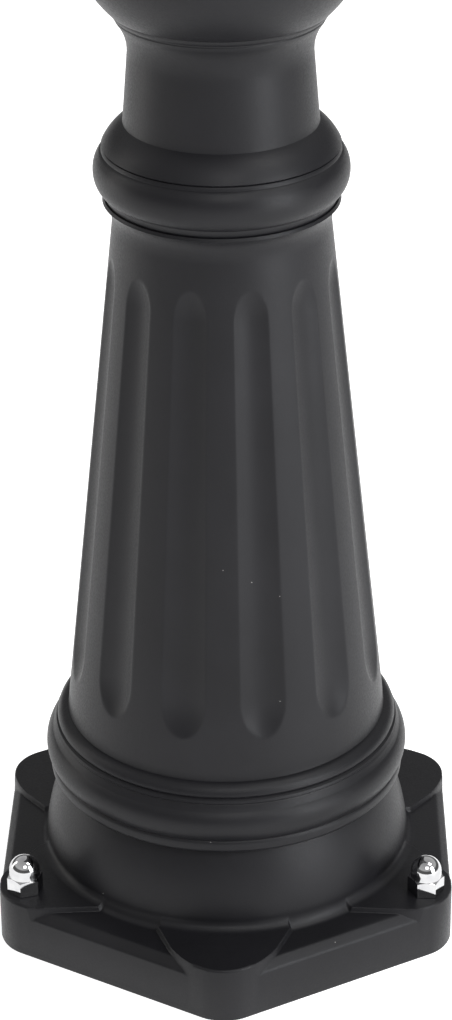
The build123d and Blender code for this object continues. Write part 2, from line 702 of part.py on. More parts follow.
with BuildPart() as scroll_screws:
    for side in (1, -1):
        for end, reach in (("low", 20), ("high", 12)):
            seat = scroll_plane(side, end).offset(-SCROLL_THICKNESS / 2 - 0.15)
            with BuildSketch(seat):
                RegularPolygon(5, 6, major_radius=False)
            extrude(amount=-4)
            with BuildSketch(seat):
                Circle(SCROLL_SCREW_R)
            extrude(amount=reach)
save(scroll_screws.part, "scroll_screws")

# ---------------------------------------------------------------- doors: bezel, glass, gasket, knob
GLASS_BACK_T = 28.2
with BuildPart() as bezel:
    with BuildSketch(HEAD_SECTION):
        with BuildLine():
            rim = Line((BEAD_R, DOOR_GAP), (BEAD_R, 15))
            ogee = ThreePointArc(rim @ 1, (223, 26), (214, 31))
            fillet_step = Line(ogee @ 1, (214, 33))
            roll = ThreePointArc(fillet_step @ 1, (204, 39), (193, 39))
            Polyline(
                roll @ 1,
                (DOOR_OPENING_R, 36),
                (DOOR_OPENING_R, 32.6),
                (GLASS_R + 2, 32.6),
                (GLASS_R + 2, 25),
                (DOOR_RECESS_R, 25),
                (DOOR_RECESS_R, DOOR_GAP),
                rim @ 0,
            )
        make_face()
    revolve(axis=DIAL_AXIS)
    for low_z in (HEAD_Z + KNUCKLE_HALF + 0.3, HEAD_Z - 44):
        knuckle_length = 44 - KNUCKLE_HALF - 0.3
        with BuildSketch(Plane.XY.offset(low_z)):
            with Locations((HINGE_X, -CASE_HALF_DEPTH)):
                Circle(HINGE_BARREL_R)
            with Locations((HINGE_X + 10, -CASE_HALF_DEPTH - DOOR_GAP - 4.8)):
                Rectangle(20, 9.6)
        extrude(amount=knuckle_length)
        with BuildSketch(Plane.XY.offset(low_z)):
            with Locations((HINGE_X, -CASE_HALF_DEPTH)):
                Circle(HINGE_BORE_R)
        extrude(amount=knuckle_length, mode=Mode.SUBTRACT)
    dial_hole(4.05, 40, [(KNOB_R, 0)], start=40)
save_pair(bezel.part, "bezel")

with BuildPart() as glass:
    with BuildSketch(dial_plane(GLASS_BACK_T)):
        Circle(GLASS_R)
    extrude(amount=GLASS_THICKNESS)
save_pair(glass.part, "glass")

with BuildPart() as gasket:
    with BuildSketch(HEAD_SECTION):
        with BuildLine():
            Polyline(
                (191, GLASS_BACK_T - 1.4),
                (GLASS_R + 1.8, GLASS_BACK_T - 1.4),
                (GLASS_R + 1.8, GLASS_BACK_T + 4.3),
                (190, GLASS_BACK_T + 4.3),
                (190, GLASS_BACK_T + 3.1),
                (GLASS_R + 0.1, GLASS_BACK_T + 3.1),
                (GLASS_R + 0.1, GLASS_BACK_T - 0.1),
                (191, GLASS_BACK_T - 0.1),
                (191, GLASS_BACK_T - 1.4),
            )
        make_face()
    revolve(axis=DIAL_AXIS)
save_pair(gasket.part, "glass_gasket")

with BuildPart() as knob:
    with BuildSketch(dial_plane(DOOR_GAP)):
        with Locations((KNOB_R, 0)):
            Circle(4)
    extrude(amount=42)
    with Locations((KNOB_R, -CASE_HALF_DEPTH - 46, HEAD_Z)):
        Sphere(8)
save_pair(knob.part, "bezel_knob")

with BuildPart() as hinge_pin:
    with BuildSketch(Plane.XY.offset(HEAD_Z - HINGE_HALF_LENGTH)):
        with Locations((HINGE_X, -CASE_HALF_DEPTH)):
            Circle(HINGE_PIN_R)
    extrude(amount=2 * HINGE_HALF_LENGTH)
    with BuildSketch(Plane.XY.offset(HEAD_Z + HINGE_HALF_LENGTH)):
        with Locations((HINGE_X, -CASE_HALF_DEPTH)):
            Circle(5)
    extrude(amount=3)
save_with_twin(hinge_pin.part, "hinge_pins")

with BuildPart() as catch_magnet:
    with BuildSketch(dial_plane(-3)):
        with Locations((KNOB_R, 0)):
            Circle(4)
    extrude(amount=3)
save_with_twin(catch_magnet.part, "catch_magnets")

# ---------------------------------------------------------------- dials
DIAL_SCREWS = [polar(193, angle) for angle in (45, 135, 225, 315)]
with BuildPart() as dial:
    with BuildSketch(dial_plane(0)):
        Circle(DIAL_R)
        Circle(BUSHING_R + 0.1, mode=Mode.SUBTRACT)
        with Locations(*DIAL_SCREWS):
            Circle(2.3, mode=Mode.SUBTRACT)
    extrude(amount=DIAL_THICKNESS)
save_pair(dial.part, "dial")

with BuildPart() as dial_screws:
    with BuildSketch(dial_plane(DIAL_THICKNESS)):
        with Locations(*DIAL_SCREWS):
            Circle(3.5)
    extrude(amount=2)
    with BuildSketch(dial_plane(DIAL_THICKNESS)):
        with Locations(*DIAL_SCREWS):
            Circle(2)
    extrude(amount=-5.9)
save_with_twin(dial_screws.part, "dial_screws")

with BuildPart() as dial_nut:
    with BuildSketch(dial_plane(DIAL_THICKNESS)):
        RegularPolygon(14, 6, major_radius=False)
        Circle(BUSHING_R + 0.05, mode=Mode.SUBTRACT)
    extrude(amount=4.5)
save_pair(dial_nut.part, "dial_nut")

# ---------------------------------------------------------------- movement frame and cover
PILLARS = [(50, 50), (-50, 50), (-50, -50), (50, -50)]
MINUTE_AXIS = polar(MINUTE_OFFSET, MINUTE_ANGLE)
with BuildPart() as movement_frame:
    for plate_t in (-PLATE_THICKNESS, BACK_PLATE_T):
        with BuildSketch(dial_plane(plate_t)):
            RectangleRounded(PLATE_SIZE, PLATE_SIZE, 10)
        extrude(amount=PLATE_THICKNESS)
    with BuildSketch(dial_plane(BACK_PLATE_T)):
        with Locations(*PILLARS):
            Circle(4)
        with Locations((-27, -46), (27, -46)):
            Rectangle(2, 24)
    extrude(amount=-BACK_PLATE_T)
    with BuildSketch(dial_plane(-PLATE_THICKNESS)):
        Circle(BUSHING_R)
    extrude(amount=PLATE_THICKNESS + 8)
    with BuildSketch(dial_plane(-PLATE_THICKNESS)):
        with Locations(MINUTE_AXIS):
            Circle(STUD_R)
    extrude(amount=-18.5)
    dial_hole(HOUR_PIPE_R + RUNNING_CLEARANCE, 12, [(0, 0)], start=8)
    dial_hole(STUD_R + RUNNING_CLEARANCE, 5, [(0, 0)], start=-29)
    dial_hole(6.1, 5, [(MOTOR_OFFSET, 0)], start=-29)
    with BuildSketch(dial_plane(BACK_PLATE_T)):
        with Locations(*PILLARS):
            Circle(2.05)
    extrude(amount=13, mode=Mode.SUBTRACT)
save_pair(movement_frame.part, "movement_frame")

COVER_BACK_T = -58
with BuildPart() as movement_cover:
    with BuildSketch(dial_plane(COVER_BACK_T)):
        RectangleRounded(126, 126, 12)
    extrude(amount=57)
    with BuildSketch(dial_plane(COVER_BACK_T + 1.5)):
        RectangleRounded(123, 123, 10.5)
    extrude(amount=57, mode=Mode.SUBTRACT)
    dial_hole(2.3, 5, PILLARS, start=COVER_BACK_T + 3)
save_pair(movement_cover.part, "movement_cover")

with BuildPart() as cover_screws:
    with BuildSketch(dial_plane(COVER_BACK_T)):
        with Locations(*PILLARS):
            Circle(3.5)
    extrude(amount=-2)
    with BuildSketch(dial_plane(COVER_BACK_T)):
        with Locations(*PILLARS):
            Circle(2)
    extrude(amount=37)
save_with_twin(cover_screws.part, "cover_screws")

with BuildPart() as battery:
    with BuildSketch(Plane(origin=(-25, -CASE_HALF_DEPTH + 16.5, HEAD_Z - 46), z_dir=(1, 0, 0))):
        Circle(12.6)
    extrude(amount=50)
save_pair(battery.part, "battery")

# ---------------------------------------------------------------- going train
with BuildPart() as motor:
    with BuildSketch(dial_plane(BACK_PLATE_T)):
        with Locations((MOTOR_OFFSET, 0)):
            Circle(21)
    extrude(amount=-20)
    with BuildSketch(dial_plane(BACK_PLATE_T)):
        with Locations((MOTOR_OFFSET, 0)):
            Circle(6)
    extrude(amount=2.5)
    dial_hole(STUD_R + RUNNING_CLEARANCE, 18, [(MOTOR_OFFSET, 0)], start=-29)
save_pair(motor.part, "drive_motor")

with BuildPart() as motor_pinion:
    with BuildSketch(dial_plane(-28.5)):
        with Locations((MOTOR_OFFSET, 0)):
            Circle(4)
    extrude(amount=6)
    with BuildSketch(Plane(dial_plane(-28.5).location * Location((MOTOR_OFFSET, 0, 0)))):
        wheel_face(MOTOR_TEETH, 0)
    extrude(amount=6)
    with BuildSketch(dial_plane(-28.5)):
        with Locations((MOTOR_OFFSET, 0)):
            Circle(STUD_R)
    extrude(amount=-17)
save_pair(motor_pinion.part, "motor_pinion")

with BuildPart() as center_arbor:
    with BuildSketch(dial_plane(BACK_PLATE_T)):
        Circle(STUD_R)
    extrude(amount=5)
    with BuildSketch(dial_plane(-29.7)):
        Circle(4)
    extrude(amount=12)
    with BuildSketch(dial_plane(-27)):
        wheel_face(CENTER_TEETH, 0)
    extrude(amount=3)
    with BuildSketch(dial_plane(-20)):
        wheel_face(CANNON_TEETH, MINUTE_ANGLE)
    extrude(amount=6)
    with BuildSketch(dial_plane(-14)):
        Circle(ARBOR_R)
    extrude(amount=35)
save_pair(center_arbor.part, "center_arbor")

with BuildPart() as minute_wheel:
    with BuildSketch(Plane(dial_plane(-19).location * Location((*MINUTE_AXIS, 0)))):
        wheel_face(MINUTE_TEETH, MINUTE_ANGLE + 180 + 180 / MINUTE_TEETH)
    extrude(amount=3)
    with BuildSketch(Plane(dial_plane(-16).location * Location((*MINUTE_AXIS, 0)))):
        wheel_face(MINUTE_PINION_TEETH, MINUTE_ANGLE + 180)
    extrude(amount=12.6)
    dial_hole(STUD_R + RUNNING_CLEARANCE, 17, [MINUTE_AXIS], start=-3)
save_pair(minute_wheel.part, "minute_wheel")

with BuildPart() as hour_wheel:
    with BuildSketch(dial_plane(-12)):
        wheel_face(HOUR_TEETH, MINUTE_ANGLE + 180 / HOUR_TEETH)
    extrude(amount=3)
    with BuildSketch(dial_plane(-12)):
        Circle(HOUR_PIPE_R)
    extrude(amount=24.5)
    dial_hole(ARBOR_R + RUNNING_CLEARANCE, 26, [(0, 0)], start=13)
save_pair(hour_wheel.part, "hour_wheel")


# ---------------------------------------------------------------- hands
def hand_face(length, half_width, tail, bore_r, angle):
    """Draw a leaf-shaped hand in the open sketch, turned clockwise from 12 by this angle."""
    hub_r = bore_r + 6
    stem = half_width / 3
    belly = 0.62 * length
    leaf = [(stem, 0), (half_width, belly), (0.45 * half_width, 0.85 * length), (0, length)]
    leaf += [(-x, y) for x, y in reversed(leaf[:-1])]
    tail_end = [(stem, 0), (1.4 * stem, -tail), (-1.4 * stem, -tail), (-stem, 0)]
    Polygon(*leaf, rotation=-angle, align=None)
    Polygon(*tail_end, rotation=-angle, align=None)
    Circle(hub_r)
    with Locations(polar(tail, 270 - angle)):
        Circle(2.2 * stem)
    Circle(bore_r, mode=Mode.SUBTRACT)


with BuildPart() as hour_hand:
    with BuildSketch(dial_plane(9)):
        hand_face(112, 11, 30, HOUR_PIPE_R + 0.02, HOUR_HAND_ANGLE)
    extrude(amount=1.5)
save_pair(hour_hand.part, "hour_hand")

with BuildPart() as minute_hand:
    with BuildSketch(dial_plane(16)):
        hand_face(165, 8, 42, ARBOR_R + 0.02, MINUTE_HAND_ANGLE)
    extrude(amount=1.5)
save_pair(minute_hand.part, "minute_hand")

with BuildPart() as hand_nut:
    with BuildSketch(dial_plane(17.5)):
        Circle(8)
    extrude(amount=6)
    dial_hole(ARBOR_R + 0.02, 4, [(0, 0)], start=21.4)
save_pair(hand_nut.part, "hand_nut")
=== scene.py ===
from math import asin, atan, atan2, ceil, cos, degrees, hypot, pi, radians, sin, sqrt, tan

import bmesh
import bpy
import numpy as np
from mathutils import Matrix, Vector


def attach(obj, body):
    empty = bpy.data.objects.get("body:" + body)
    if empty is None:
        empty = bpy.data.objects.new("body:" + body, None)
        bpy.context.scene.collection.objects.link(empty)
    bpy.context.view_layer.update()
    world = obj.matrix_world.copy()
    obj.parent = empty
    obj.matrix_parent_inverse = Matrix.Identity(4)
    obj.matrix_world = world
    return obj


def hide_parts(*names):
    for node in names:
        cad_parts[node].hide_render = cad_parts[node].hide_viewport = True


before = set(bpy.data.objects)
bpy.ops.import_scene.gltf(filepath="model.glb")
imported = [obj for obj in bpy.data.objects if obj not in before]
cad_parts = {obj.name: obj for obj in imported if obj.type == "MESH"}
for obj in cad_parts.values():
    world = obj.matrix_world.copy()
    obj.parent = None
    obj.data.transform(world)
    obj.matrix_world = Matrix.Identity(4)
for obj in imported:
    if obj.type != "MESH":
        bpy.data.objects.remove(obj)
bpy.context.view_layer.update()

# Lengths in this file are millimetres until piece() writes them out in metres.
MM = 0.001

# Foot: a rounded hexagon with one corner towards -Y, six raised pads and three cap nuts.
FOOT_APOTHEM = 129
FOOT_CORNER_R = 25
FOOT_EDGE_Z = 26.5
POCKET_Z = 31.2
PAD_Z = 34
BEVEL_RUN = 5
SKIRT_R = 105
SKIRT_FILLET = 5
FOOT_TOP_Z = 89.2
NUT_CIRCLE_R = 131.5

# Shaft and its flutes.
SHAFT_FOOT = (89.6, 128.8)
SHAFT_HEAD = (58.5, 418.9)
FLUTE_HALF = 8.5
FLUTE_ENDS = (168, 384)
FLUTE_END_REACH = (22, 17)
FLUTE_DEPTH_RATIO = 0.045

# Clock head.
HEAD_Z = 1905
CASE_FACE_Y = -62
CASE_R = 222
BEAD_R = 226
HINGE_X = -236
SCROLL_BAR_R = 225.55
SCROLL_LOW = (76.55, 1576)
SCROLL_ANGLE = 90 - 2 * degrees(atan((SCROLL_BAR_R - SCROLL_LOW[0]) / (HEAD_Z - SCROLL_LOW[1])))
SCROLL_BOW_R = (HEAD_Z - SCROLL_LOW[1]) / cos(radians(SCROLL_ANGLE)) - SCROLL_BAR_R


# ---------------------------------------------------------------- outlines
def polar(radius, angle, height):
    """A point by its distance from the axis, its angle in radians and its height."""
    return radius * cos(angle), radius * sin(angle), height


def arc(start, middle, end, steps=12):
    """Points on the circular arc through three points."""
    (ax, ay), (bx, by), (cx, cy) = start, middle, end
    d = 2 * (ax * (by - cy) + bx * (cy - ay) + cx * (ay - by))
    aa, bb, cc = ax * ax + ay * ay, bx * bx + by * by, cx * cx + cy * cy
    ux = (aa * (by - cy) + bb * (cy - ay) + cc * (ay - by)) / d
    uy = (aa * (cx - bx) + bb * (ax - cx) + cc * (bx - ax)) / d
    radius = hypot(ax - ux, ay - uy)
    first = atan2(ay - uy, ax - ux)
    mid = (atan2(by - uy, bx - ux) - first) % (2 * pi)
    sweep = (atan2(cy - uy, cx - ux) - first) % (2 * pi)
    if mid > sweep:
        sweep -= 2 * pi
    angles = [first + sweep * k / steps for k in range(steps + 1)]
    return [(ux + radius * cos(a), uy + radius * sin(a)) for a in angles]


def oval(centre, size, first, last, steps=16):
    """Points on an ellipse between two angles in degrees."""
    angles = [radians(first + (last - first) * k / steps) for k in range(steps + 1)]
    return [(centre[0] + size[0] * cos(a), centre[1] + size[1] * sin(a)) for a in angles]


def soften(points, radius, steps=3, closed=True):
    """Round the corners of an outline that turn by more than about 20 degrees."""
    count = len(points)
    out = []
    for k, p in enumerate(points):
        if not closed and k in (0, count - 1):
            out.append(p)
            continue
        a = Vector(points[k - 1]) - Vector(p)
        b = Vector(points[(k + 1) % count]) - Vector(p)
        if a.length < 1e-6 or b.length < 1e-6:
            continue
        turn = pi - a.angle(b)
        if turn < radians(20):
            out.append(p)
            continue
        cut = min(radius * tan(turn / 2), 0.45 * a.length, 0.45 * b.length)
        start = Vector(p) + a.normalized() * cut
        end = Vector(p) + b.normalized() * cut
        for j in range(steps + 1):
            t = j / steps
            q = start * (1 - t) ** 2 + Vector(p) * 2 * t * (1 - t) + end * t * t
            out.append((q.x, q.y))
    return out


def circle(radius, steps=64, centre=(0, 0)):
    """Points of a full circle, counterclockwise."""
    angles = [2 * pi * k / steps for k in range(steps)]
    return [(centre[0] + radius * cos(a), centre[1] + radius * sin(a)) for a in angles]


def box_radius(half_x, half_y, corner, angle):
    """Distance from the centre to a rounded rectangle's edge at this angle in radians."""
    ux, uy = abs(cos(angle)), abs(sin(angle))
    cx, cy = half_x - corner, half_y - corner
    if half_x * uy <= cy * ux:
        return half_x / ux
    if half_y * ux <= cx * uy:
        return half_y / uy
    along = cx * ux + cy * uy
    return along + sqrt(max(0.0, along * along - cx * cx - cy * cy + corner * corner))


# ---------------------------------------------------------------- meshes
def piece(name, points, faces, material, body, nodes=(), sharp=32):
    """A smooth-shaded mesh with its hard edges kept, riding on a body."""
    mesh = bpy.data.meshes.new(name)
    mesh.from_pydata((np.asarray(points, float) * MM).tolist(), [], faces)
    bm = bmesh.new()
    bm.from_mesh(mesh)
    bmesh.ops.remove_doubles(bm, verts=bm.verts, dist=1e-7)
    bmesh.ops.recalc_face_normals(bm, faces=bm.faces)
    limit = radians(sharp)
    for face in bm.faces:
        face.smooth = True
    for edge in bm.edges:
        if len(edge.link_faces) == 2 and edge.calc_face_angle(0) > limit:
            edge.smooth = False
    bm.to_mesh(mesh)
    bm.free()
    mesh.materials.append(material)
    obj = bpy.data.objects.new(name, mesh)
    bpy.context.scene.collection.objects.link(obj)
    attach(obj, body)
    if nodes:
        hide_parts(*nodes)
    return obj


class Shape:
    """Points and faces gathered from several closed shells, in millimetres."""

    def __init__(self):
        self.points = []
        self.faces = []

    def grid(self, rows, closed_rows=True, closed_columns=True):
        """Add quads over rows of equally many points."""
        start = len(self.points)
        rows = np.asarray(rows, float)
        count, width = rows.shape[:2]
        self.points.extend(map(tuple, rows.reshape(-1, 3)))
        last_row = count if closed_rows else count - 1
        last_column = width if closed_columns else width - 1
        for i in range(last_row):
            a, b = start + i * width, start + (i + 1) % count * width
            for j in range(last_column):
                k = (j + 1) % width
                self.faces.append((a + j, a + k, b + k, b + j))
        return self

    def cap(self, row, flip=False):
        """Close the ring of points in this row with one face."""
        start = len(self.points)
        self.points.extend(map(tuple, row))
        order = list(range(start, start + len(row)))
        self.faces.append(tuple(reversed(order)) if flip else tuple(order))
        return self

    def turned(self, profile, steps=192, place=None):
        """Turn a closed (radius, height) outline about the axis."""
        angles = np.linspace(0, 2 * pi, steps, endpoint=False)
        rows = [[polar(r, a, z) for a in angles] for r, z in profile]
        return self.add_placed(rows, place)

    def turned_solid(self, profile, steps=96, place=None):
        """Turn an open outline that starts and ends on the axis, or near it."""
        angles = np.linspace(0, 2 * pi, steps, endpoint=False)
        rows = np.array([[polar(r, a, z) for a in angles] for r, z in profile])
        rows = rows if place is None else place(rows)
        self.grid(rows, closed_rows=False)
        self.cap(rows[0])
        return self.cap(rows[-1], flip=True)

    def add_placed(self, rows, place):
        rows = np.asarray(rows, float)
        return self.grid(rows if place is None else place(rows))

    def plate(self, outline, holes, low, high, place, edge=0.0):
        """A flat plate with holes, its rim softened by a small chamfer at the high side."""
        loops = [outline] + list(holes)
        for level, inset_by in ((low, 0.0), (high, edge)):
            bm = bmesh.new()
            edges = []
            for loop in loops:
                shrunk = inset(loop, inset_by)
                verts = [bm.verts.new((x, y, 0)) for x, y in shrunk]
                edges += [bm.edges.new((verts[k - 1], verts[k])) for k in range(len(verts))]
            bmesh.ops.triangle_fill(bm, use_beauty=True, edges=edges)
            bm.verts.index_update()
            start = len(self.points)
            flat = np.array([[v.co.x, v.co.y, level] for v in bm.verts])
            self.points.extend(map(tuple, place(flat)))
            for face in bm.faces:
                self.faces.append(tuple(start + v.index for v in face.verts))
            bm.free()
        for loop in loops:
            levels = [(low, 0.0), (high - edge, 0.0), (high, edge)] if edge else [(low, 0.0), (high, 0.0)]
            rows = [[(x, y, level) for x, y in inset(loop, by)] for level, by in levels]
            self.grid(place(np.array(rows)), closed_rows=False)
        return self

    def make(self, name, material, body, slot, nodes=(), sharp=32):
        return piece(name, self.points, self.faces, material, body, nodes, sharp)

    def paint(self, name, node, body="post"):
        return self.make(name, PAINT, body, "post_paint", [node])


def inset(loop, distance):
    """Move a loop's points to its left, into a counterclockwise outline or out of a clockwise hole."""
    if not distance:
        return loop
    out = []
    count = len(loop)
    for k in range(count):
        before = (Vector(loop[k]) - Vector(loop[k - 1])).normalized()
        after = (Vector(loop[(k + 1) % count]) - Vector(loop[k])).normalized()
        normal = Vector((-before.y - after.y, before.x + after.x))
        normal = normal.normalized() / max(0.4, sqrt((1 + before.dot(after)) / 2))
        out.append((loop[k][0] + normal.x * distance, loop[k][1] + normal.y * distance))
    return out


def drum_frame(side):
    """Places (x, y, t) for a dial: x to the right as seen, y up, t out from the case's end."""

    def place(rows):
        rows = np.asarray(rows, float)
        out = np.empty_like(rows)
        out[..., 0] = side * rows[..., 0]
        out[..., 1] = side * (CASE_FACE_Y - rows[..., 2])
        out[..., 2] = HEAD_Z + rows[..., 1]
        return out

    return place


# ---------------------------------------------------------------- materials
# The part of a noise texture's range that its values mostly fall in.
NOISE_LOW = 0.3
NOISE_HIGH = 0.7


class Nodes:
    """A small helper that adds nodes to a material and links them."""

    def __init__(self, name):
        self.material = bpy.data.materials.new(name)
        self.material.use_nodes = True
        self.tree = self.material.node_tree
        self.shader = self.tree.nodes["Principled BSDF"]
        self.place = self.add("ShaderNodeTexCoord").outputs["Object"]

    def add(self, kind, inputs=None, **settings):
        node = self.tree.nodes.new(kind)
        for key, value in settings.items():
            setattr(node, key, value)
        for key, value in (inputs or {}).items():
            node.inputs[key].default_value = value
        return node

    def link(self, source, target):
        self.tree.links.new(source, target)

    def noise(self, scale, detail=2.0, roughness=0.5, stretch=None):
        node = self.add("ShaderNodeTexNoise", {"Scale": scale, "Detail": detail, "Roughness": roughness})
        where = self.place
        if stretch is not None:
            mapping = self.add("ShaderNodeMapping", {"Scale": stretch})
            self.link(self.place, mapping.inputs["Vector"])
            where = mapping.outputs["Vector"]
        self.link(where, node.inputs["Vector"])
        return node.outputs["Fac"]

    def ramp(self, source, stops):
        node = self.add("ShaderNodeValToRGB")
        elements = node.color_ramp.elements
        while len(elements) < len(stops):
            elements.new(0.5)
        for element, (position, colour) in zip(elements, stops):
            element.position = position
            element.color = (*colour, 1) if len(colour) == 3 else colour
        self.link(source, node.inputs["Fac"])
        return node.outputs["Color"]

    def spread(self, source, low, high):
        """Map the middle of a noise's range onto low to high."""
        limits = {"From Min": NOISE_LOW, "From Max": NOISE_HIGH, "To Min": low, "To Max": high}
        node = self.add("ShaderNodeMapRange", limits)
        self.link(source, node.inputs["Value"])
        return node.outputs["Result"]

    def mix(self, factor, first, second):
        node = self.add("ShaderNodeMix", data_type="RGBA")
        self.link(factor, node.inputs[0])
        for socket, value in ((node.inputs[6], first), (node.inputs[7], second)):
            if isinstance(value, tuple):
                socket.default_value = (*value, 1)
            else:
                self.link(value, socket)
        return node.outputs[2]

    def bump(self, source, strength, depth, under=None):
        node = self.add("ShaderNodeBump", {"Strength": strength, "Distance": depth})
        self.link(source, node.inputs["Height"])
        if under is not None:
            self.link(under, node.inputs["Normal"])
        return node.outputs["Normal"]

    def specks(self, scale, size, chance):
        """1 on tiny round dots scattered over the surface, 0 elsewhere."""
        cells = self.add("ShaderNodeTexVoronoi", {"Scale": scale})
        self.link(self.place, cells.inputs["Vector"])
        dot = self.add("ShaderNodeMath", {1: size}, operation="LESS_THAN")
        self.link(cells.outputs["Distance"], dot.inputs[0])
        pick = self.add("ShaderNodeSeparateColor")
        self.link(cells.outputs["Color"], pick.inputs["Color"])
        rare = self.add("ShaderNodeMath", {1: chance}, operation="LESS_THAN")
        self.link(pick.outputs["Red"], rare.inputs[0])
        both = self.add("ShaderNodeMath", operation="MULTIPLY")
        self.link(dot.outputs[0], both.inputs[0])
        self.link(rare.outputs[0], both.inputs[1])
        return both.outputs[0]

    def set(self, **values):
        for key, value in values.items():
            self.shader.inputs[key.replace("_", " ")].default_value = value

    def wire(self, colour=None, roughness=None, normal=None):
        for source, socket in ((colour, "Base Color"), (roughness, "Roughness"), (normal, "Normal")):
            if source is not None:
                self.link(source, self.shader.inputs[socket])
        return self.material


def paint_material():
    """Satin black powder coat: fine orange peel, faint mottling and a few dust specks."""
    n = Nodes("powder_coat_black")
    n.set(Specular_IOR_Level=0.215)
    mottle = n.noise(14, detail=3, roughness=0.6)
    dark, light = (0.0056, 0.0055, 0.0066), (0.0086, 0.0084, 0.0100)
    base = n.ramp(mottle, [(NOISE_LOW, dark), (NOISE_HIGH, light)])
    colour = n.mix(n.specks(130, 0.035, 0.07), base, (0.35, 0.34, 0.33))
    rough = n.spread(n.noise(900, detail=1), 0.38, 0.50)
    peel = n.bump(n.noise(700, detail=2, roughness=0.55), 0.35, 0.00012)
    normal = n.bump(n.noise(2600, detail=1), 0.16, 0.00006, under=peel)
    return n.wire(colour, rough, normal)


def chrome_material():
    """Bright chrome with faint mottling and a barely uneven surface."""
    n = Nodes("bright_chrome")
    n.set(Metallic=1.0)
    dark, light = (0.46, 0.46, 0.47), (0.55, 0.55, 0.55)
    colour = n.ramp(n.noise(160, detail=2), [(NOISE_LOW, dark), (NOISE_HIGH, light)])
    rough = n.spread(n.noise(500, detail=3), 0.03, 0.09)
    normal = n.bump(n.noise(900, detail=1), 0.05, 0.00003)
    return n.wire(colour, rough, normal)


def metal_material(name, dark, light, low, high, stretch=(1, 1, 30), scale=120):
    """Brushed or turned metal: streaks in the colour, the gloss and the surface."""
    n = Nodes(name)
    n.set(Metallic=1.0)
    streak = n.noise(scale, detail=4, roughness=0.65, stretch=stretch)
    colour = n.ramp(streak, [(NOISE_LOW, dark), (NOISE_HIGH, light)])
    rough = n.spread(n.noise(scale * 2, detail=3, stretch=stretch), low, high)
    normal = n.bump(streak, 0.25, 0.00005)
    return n.wire(colour, rough, normal)


def coated_material(name, dark, light, low, high, scale=300, depth=0.00006, strength=0.3, coat=0.0):
    """Enamel, plastic, rubber or lacquer: a mottled colour with a fine surface."""
    n = Nodes(name)
    if coat:
        n.set(Coat_Weight=coat, Coat_Roughness=0.06)
    colour = n.ramp(n.noise(scale / 12, detail=3), [(NOISE_LOW, dark), (NOISE_HIGH, light)])
    rough = n.spread(n.noise(scale, detail=2), low, high)
    normal = n.bump(n.noise(scale * 3, detail=2), strength, depth)
    return n.wire(colour, rough, normal)


def glass_material():
    """Clear pane: it mirrors by its angle and lets the rest through."""
    n = Nodes("clear_glass")
    n.tree.nodes.remove(n.shader)
    clear = n.add("ShaderNodeBsdfTransparent", {"Color": (0.965, 0.985, 0.975, 1)})
    mirror = n.add("ShaderNodeBsdfGlossy")
    haze = n.add("ShaderNodeMapRange", {"To Min": 0.005, "To Max": 0.03})
    n.link(n.noise(40), haze.inputs["Value"])
    n.link(haze.outputs["Result"], mirror.inputs["Roughness"])
    angle = n.add("ShaderNodeFresnel", {"IOR": 1.5})
    mix = n.add("ShaderNodeMixShader")
    n.link(angle.outputs["Fac"], mix.inputs["Fac"])
    n.link(clear.outputs["BSDF"], mix.inputs[1])
    n.link(mirror.outputs["BSDF"], mix.inputs[2])
    n.link(mix.outputs["Shader"], n.tree.nodes["Material Output"].inputs["Surface"])
    return n.material


PAINT = paint_material()
CHROME = chrome_material()
ZINC = metal_material("zinc_plate", (0.46, 0.47, 0.49), (0.66, 0.67, 0.66), 0.28, 0.45, (1, 1, 1), 60)
STAINLESS = metal_material("brushed_stainless", (0.58, 0.58, 0.58), (0.74, 0.74, 0.73), 0.20, 0.36)
NICKEL = metal_material("nickel_magnet", (0.52, 0.51, 0.49), (0.66, 0.65, 0.62), 0.16, 0.28, (1, 1, 1), 80)
BRASS = metal_material("turned_brass", (0.56, 0.38, 0.14), (0.76, 0.56, 0.25), 0.20, 0.36, (1, 12, 1), 150)
CAN = metal_material("drawn_steel_can", (0.44, 0.44, 0.46), (0.60, 0.60, 0.61), 0.25, 0.42, (1, 20, 1), 90)
GLASS = glass_material()
RUBBER = coated_material("matt_rubber", (0.012, 0.012, 0.012), (0.024, 0.024, 0.024), 0.65, 0.85)
ENAMEL = coated_material(
    "dial_enamel", (0.80, 0.78, 0.70), (0.87, 0.855, 0.79), 0.22, 0.34, scale=90, strength=0.12, coat=0.4
)
HAND = coated_material("hand_black", (0.009, 0.009, 0.010), (0.016, 0.016, 0.017), 0.30, 0.42, scale=500)
PLASTIC = coated_material("moulded_plastic", (0.040, 0.040, 0.043), (0.058, 0.058, 0.062), 0.48, 0.62)
WRAP = coated_material("battery_wrap", (0.010, 0.016, 0.032), (0.016, 0.024, 0.046), 0.22, 0.34, coat=0.3)


# ---------------------------------------------------------------- foot casting
CORNER_CENTRE = (FOOT_APOTHEM - FOOT_CORNER_R) / cos(radians(30))
# Plain pads, then the ones with a nut: half width at PAD_MEASURE_X from the axis, how much that
# narrows for each millimetre outwards, and the radius of the pad's corners.
PAD_MEASURE_X = 80
PAD_SIDES = ((46.5, 0.39, 10), (48.8, 0.5, 4))
WALL_WIDTH = 1.4
RIM_MARGIN = 0.3
SLOPE_BLEND = 0.8


def foot_radius(angle, inset_by):
    """Distance to the foot's outline, moved in by inset_by, at this angle from a corner."""
    angle = abs(angle)
    corner = FOOT_CORNER_R - inset_by
    tangent = atan2(corner * 0.5, CORNER_CENTRE + corner * cos(radians(30)))
    if angle < tangent:
        reach = CORNER_CENTRE * sin(angle)
        return CORNER_CENTRE * cos(angle) + sqrt(corner * corner - reach * reach)
    return (FOOT_APOTHEM - inset_by) / cos(radians(30) - angle)


